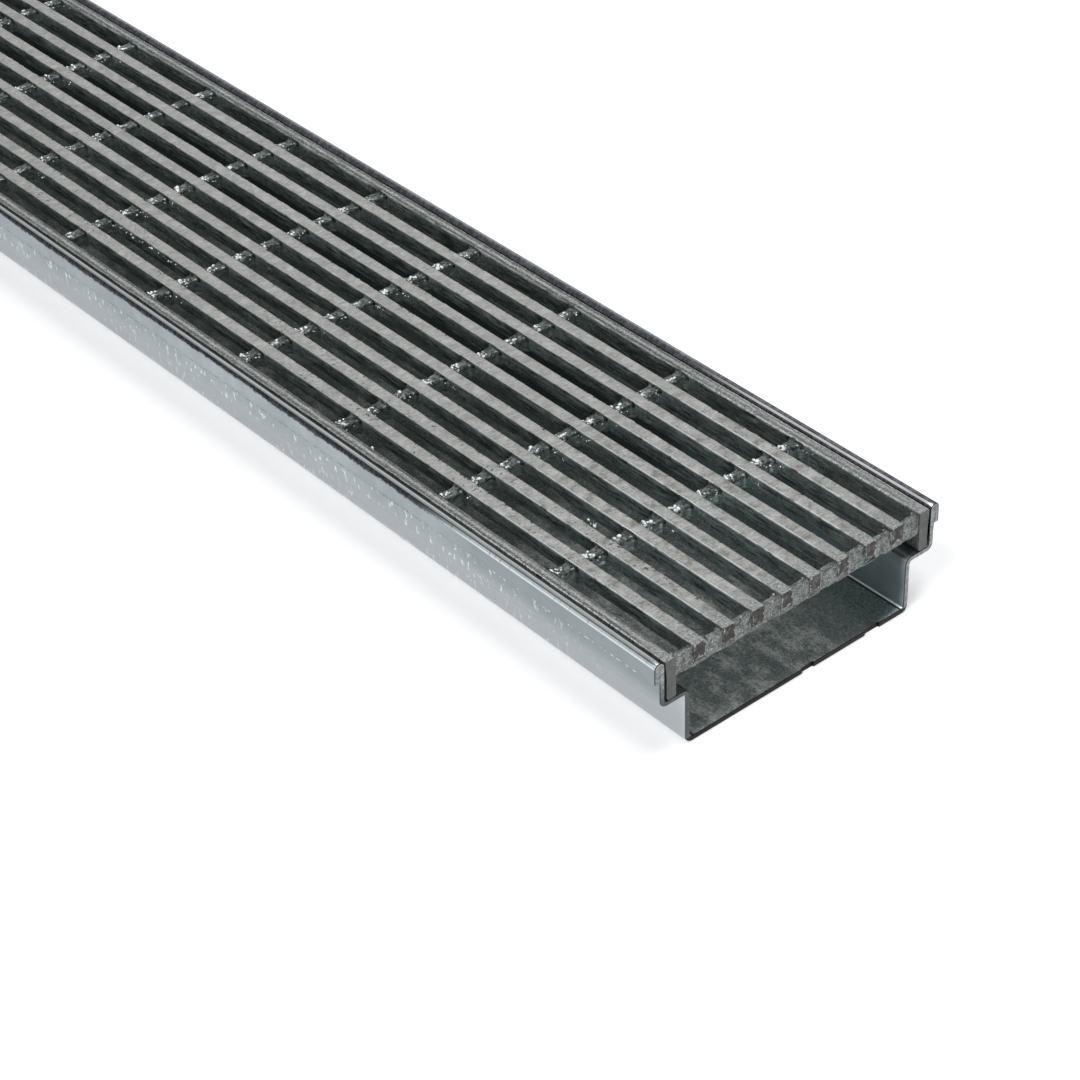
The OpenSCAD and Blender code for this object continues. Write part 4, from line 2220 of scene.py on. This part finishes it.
@dataclass
class Ties:
    """The cross bars and the end bars of the grate.

    Attributes:
        rhythm: Places of the bars and the cross bars.
        inset: Depth of the end bars' zinc behind the plane of the grate's end.
        cross_coat: Zinc on the cross bars.
        end_coat: Zinc on the end bars.
        tree: Tree that lays the coats.
        strewer: Tree that strews the drops.
    """

    rhythm: Rhythm
    inset: float = 0.63 * MM
    cross_coat: ZincCoat = ZincCoat(
        outset=0.0, swell=0.9 * MM, swell_size=3.4 * MM, grain=0.25 * MM, grain_size=0.9 * MM
    )
    end_coat: ZincCoat = ZincCoat(
        outset=-0.34 * MM, swell=1.6 * MM, swell_size=3.6 * MM, grain=0.35 * MM, grain_size=1.0 * MM
    )
    tree: CoatTree = field(default_factory=CoatTree)
    strewer: BlobTree = field(default_factory=BlobTree)

    def __post_init__(self) -> None:
        """Reads where the long bars and the flats are."""
        boxes = [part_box(node) for node in names_like("bar_")]
        self.sides = sorted((low.x, high.x) for low, high in boxes)
        self.bar_top = boxes[0][1].z
        self.bar_foot = boxes[0][0].z
        self.span = (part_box("edge_flat_left")[1].x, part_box("edge_flat_right")[0].x)

    def form(self, node: str, corner: float, flare: float, lift: float, step: float) -> NotchedForm:
        """Measures the form of a node.

        Args:
            node: Its name.
            corner: Radius of its corners.
            flare: Reach of the fillets sideways.
            lift: Rise of the fillets.
            step: Distance between two rings.

        Returns:
            The form.
        """
        low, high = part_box(node)
        return NotchedForm(high.y - low.y, high.z, low.z, corner, flare, lift, step)

    def lay(
        self,
        nodes: Sequence[str],
        form: NotchedForm,
        coat: ZincCoat,
        finish: bpy.types.Material,
        slot: Slot,
        inset: float = 0.0,
    ) -> None:
        """Makes the pieces of some nodes from one form and hands them over.

        Args:
            nodes: Names of the nodes.
            form: Their form.
            coat: Zinc on them.
            finish: Their material.
            slot: Slot of their finish.
            inset: Distance that they move to the middle of the channel.
        """
        part = form.build("notched_part", self.sides, self.span, self.bar_top, self.bar_foot)
        for node in nodes:
            low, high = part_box(node)
            middle = (low.y + high.y) / 2
            along = middle - math.copysign(inset, middle)
            keep(coat.lay(self.tree, f"{node}_zinc", part, along, finish), slot, node)
        remove_helper(part)

    def cross_bars(self) -> None:
        """Makes the cross bars."""
        nodes = names_like("cross_bar_")
        finish = TieFinish(
            name="zinc_cross",
            # These dark colours paint the shade that lies over the cross bars between the long bars.
            pale=(0.20, 0.23, 0.22),
            deep=(0.06, 0.07, 0.067),
            roughness=0.28,
            dulling=0.2,
            patch=4 * MM,
            grain=0.6 * MM,
            relief=0.15 * MM,
            rhythm=self.rhythm,
            level=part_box(nodes[0])[1].z,
        ).material()
        form = self.form(nodes[0], corner=1.2 * MM, flare=1.7 * MM, lift=0.9 * MM, step=0.55 * MM)
        self.lay(nodes, form, self.cross_coat, finish, Slot.CROSS)

    def blobs(self) -> None:
        """Makes the glossy drops of zinc that hang where cross bars meet long bars, coloured near white as
        painted highlights.
        """
        nodes = names_like("cross_bar_")
        finish = ZincFinish(
            name="zinc_blob",
            # The drops are real zinc; their near-white colour is a painted highlight.
            pale=(1.0, 1.0, 1.0),
            deep=(0.80, 0.86, 0.86),
            roughness=0.20,
            dulling=0.1,
            metallic=0.15,
            patch=2.5 * MM,
        ).material()
        grid = (len(self.sides) + 1, len(nodes))
        steps = (self.rhythm.pitch, self.rhythm.bay)
        for strewing in drop_strewings(grid, steps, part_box(nodes[0])[1].z / MM):
            strewing.make(self.strewer, finish, Slot.CROSS)

    def end_bars(self) -> None:
        """Makes the end bars, with drops in the corners between them and the long bars."""
        nodes = names_like("end_bar_")
        finish = GrainyFinish(
            name="zinc_end",
            pale=(0.29, 0.305, 0.295),
            deep=(0.11, 0.12, 0.115),
            roughness=0.36,
            dulling=0.2,
            patch=2.2 * MM,
            grain=0.6 * MM,
            relief=0.35 * MM,
        ).material()
        low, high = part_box(nodes[-1])
        above_foot, off_bar, off_end = 5.2, 0.5, 0.5 * MM
        middle = low.z / MM + above_foot
        corner = (self.rhythm.pitch / 2 - self.rhythm.half) / MM - off_bar
        steps = (self.rhythm.pitch, -2 * high.y - 2 * off_end)
        grid = (len(self.sides) + 1, 2)
        for side, seed in ((Side.LEFT, 41), (Side.RIGHT, 43)):
            place = (side.value * corner, 0.0, middle)
            drops = Strewing(
                f"end_blobs_{seed}", grid, steps, place, (0.6, 0.7, 2.0), 9, (0.8, 1.4), seed
            )
            drops.make(self.strewer, finish, Slot.END)
        form = self.form(nodes[0], corner=0.5 * MM, flare=0.0, lift=0.5 * MM, step=0.5 * MM)
        self.lay(nodes, form, self.end_coat, finish, Slot.END, self.inset)


def remove_helper(part: bpy.types.Object) -> None:
    """Removes a helper object with its mesh.

    Args:
        part: The helper.
    """
    mesh = part.data
    bpy.data.objects.remove(part)
    bpy.data.meshes.remove(mesh)


def dress_trough(trough: Trough, tree: CoatTree) -> None:
    """Gives the trough its slight waves and its finish, and hands it over.

    Args:
        trough: Sizes of the trough.
        tree: Tree that lays zinc on a part.
    """
    coat = ZincCoat(outset=-0.04 * MM, swell=0.12 * MM, swell_size=110 * MM)
    part = trough.build()
    piece = coat.lay(tree, "trough_zinc", part, 0.0, trough.finish().material())
    remove_helper(part)
    keep(piece, Slot.SHEET, "channel")


@dataclass(frozen=True)
class RimBeads:
    """Zinc beads that hang on the lower edge of each folded rim.

    Attributes:
        spacing: Distance between two beads.
        bare: Length at each end that has none.
        behind: Depth of the string behind the rim's outer face.
        drift: Distance that the string lies to the right, which evens out the beads' random shift.
        bead: Half sizes of a bead.
        seed: Number that the seeds of the two rims lie beside.
    """

    spacing: float = 5 * MM
    bare: float = 10 * MM
    behind: float = 0.9 * MM
    drift: float = 0.45 * MM
    bead: Point = (0.34 * MM, 0.9 * MM, 0.3 * MM)
    seed: int = 3

    def make(self, trough: Trough) -> None:
        """Strings the beads and hands them over.

        Args:
            trough: Sizes of the trough.
        """
        tree = BeadTree()
        finish = ZincFinish(
            name="zinc_bead", pale=(0.62, 0.65, 0.67), deep=(0.30, 0.33, 0.35), roughness=0.16
        ).material()
        run = 2 * trough.half_l - 2 * self.bare
        level = trough.height - trough.rim_h
        for side in Side:
            across = side.value * (trough.half_w - self.behind) + self.drift
            piece = tree.run(
                f"rim_beads_{side.name.lower()}",
                Count=round(run / self.spacing),
                Start=(across, -run / 2, level),
                Step=(0.0, self.spacing, 0.0),
                Drop=self.bead,
                Seed=self.seed + side.value,
                Material=finish,
            )
            keep(piece, Slot.SHEET)


@dataclass(frozen=True)
class Lamp:
    """One soft white lamp.

    Attributes:
        name: Its name.
        spot: Its place.
        aim: Point that it faces.
        size: Its width and height.
        power: Its power in watts.
    """

    name: str
    spot: Point
    aim: Point
    size: Pair
    power: float

    def hang(self) -> None:
        """Hangs the lamp."""
        data = bpy.data.lights.new(self.name, "AREA")
        data.shape = "RECTANGLE"
        data.size, data.size_y = self.size
        data.energy = self.power
        made = linked(self.name, data)
        made.location = self.spot
        made.rotation_euler = (Vector(self.spot) - Vector(self.aim)).to_track_quat("Z", "Y").to_euler()


@dataclass(frozen=True)
class Studio:
    """Pale floor, soft lamps and the camera at the photograph's angle.

    Attributes:
        spot: Place of the camera.
        azimuth: Its bearing, in degrees.
        elevation: Its height over the horizon, in degrees.
        roll: Its turn about the view, in degrees.
        lens: Its focal length in millimetres on the sensor's width.
        sensor: Width of the sensor in millimetres.
        floor_half: Half width of the floor.
        floor_tone: Colour of the floor.
        floor_lift: Light that the floor shows of its own, in the picture and in reflections.
        sky: Colour of the room around.
        sky_strength: Brightness of the room.
        lamps: The key lamp on the left, one above and a broad, weak one behind.
    """

    spot: Point = (-0.5425, -1.0295, 0.6292)
    azimuth: float = -39.251
    elevation: float = 37.034
    roll: float = -2.127
    lens: float = 97.7
    sensor: float = 36.0
    floor_half: float = 8.0
    floor_tone: Colour = (0.86, 0.86, 0.86)
    floor_lift: Pair = (0.34, 0.16)
    sky: Colour = (0.95, 0.98, 1.0)
    sky_strength: float = 0.32
    lamps: tuple[Lamp, ...] = (
        Lamp("key", (-1.5, -0.9, 2.1), (0.0, -0.25, 0.0), (0.8, 0.8), 26.0),
        Lamp("top", (0.1, -0.6, 2.3), (0.0, -0.2, 0.0), (1.0, 1.0), 20.0),
        Lamp("back", (1.3, 1.35, 1.5), (0.0, -0.2, 0.0), (2.0, 1.5), 7.0),
    )

    def camera(self) -> None:
        """Places the camera."""
        data = bpy.data.cameras.new("camera")
        data.sensor_width = self.sensor
        data.lens = self.lens
        data.clip_start = 0.01
        made = linked("camera", data)
        around, up = math.radians(self.azimuth), math.radians(self.elevation)
        back = Vector((math.sin(around) * math.cos(up), -math.cos(around) * math.cos(up), math.sin(up)))
        turn = back.to_track_quat("Z", "Y") @ Quaternion((0.0, 0.0, 1.0), math.radians(self.roll))
        made.rotation_euler = turn.to_euler()
        made.location = self.spot
        bpy.context.scene.camera = made

    def room(self) -> None:
        """Lights the room evenly."""
        world = bpy.data.worlds.new("room")
        world.use_nodes = True
        background = world.node_tree.nodes["Background"]
        background.inputs["Color"].default_value = (*self.sky, 1.0)
        background.inputs["Strength"].default_value = self.sky_strength
        bpy.context.scene.world = world

    def floor(self) -> None:
        """Lays the floor."""
        reach = self.floor_half
        corners = [
            (-reach, -reach, 0.0), (reach, -reach, 0.0), (reach, reach, 0.0), (-reach, reach, 0.0)
        ]
        made = linked("floor", mesh_from("floor", corners, [(0, 1, 2, 3)]))
        finish = bpy.data.materials.new("floor_paint")
        finish.use_nodes = True
        bench = NodeBench(finish.node_tree)
        shader = finish.node_tree.nodes["Principled BSDF"]
        shader.inputs["Base Color"].default_value = (*self.floor_tone, 1.0)
        shader.inputs["Roughness"].default_value = 0.9
        rays = bench.node("ShaderNodeLightPath").outputs
        seen, mirrored = self.floor_lift
        lift = bench.maths(
            "MAXIMUM",
            bench.product(rays["Is Camera Ray"], seen),
            bench.product(rays["Is Glossy Ray"], mirrored),
        )
        shader.inputs["Emission Color"].default_value = (1.0, 1.0, 1.0, 1.0)
        bench.feed(shader.inputs["Emission Strength"], lift)
        made.data.materials.append(finish)

    def build(self) -> None:
        """Sets up the whole studio."""
        bpy.context.scene.view_settings.view_transform = "Standard"
        self.camera()
        self.room()
        self.floor()
        for lamp in self.lamps:
            lamp.hang()


def main() -> None:
    """Builds the studio, then every piece of the channel and its grate."""
    logging.basicConfig(level=logging.INFO, format="%(name)s: %(message)s")
    Studio().build()
    trough = Trough()
    long_pieces = LongPieces()
    ties = Ties(rhythm=long_pieces.rhythm())
    dress_trough(trough, ties.tree)
    RimBeads().make(trough)
    long_pieces.flats()
    long_pieces.bars()
    ties.cross_bars()
    ties.blobs()
    ties.end_bars()


if __name__ == "__main__":
    main()
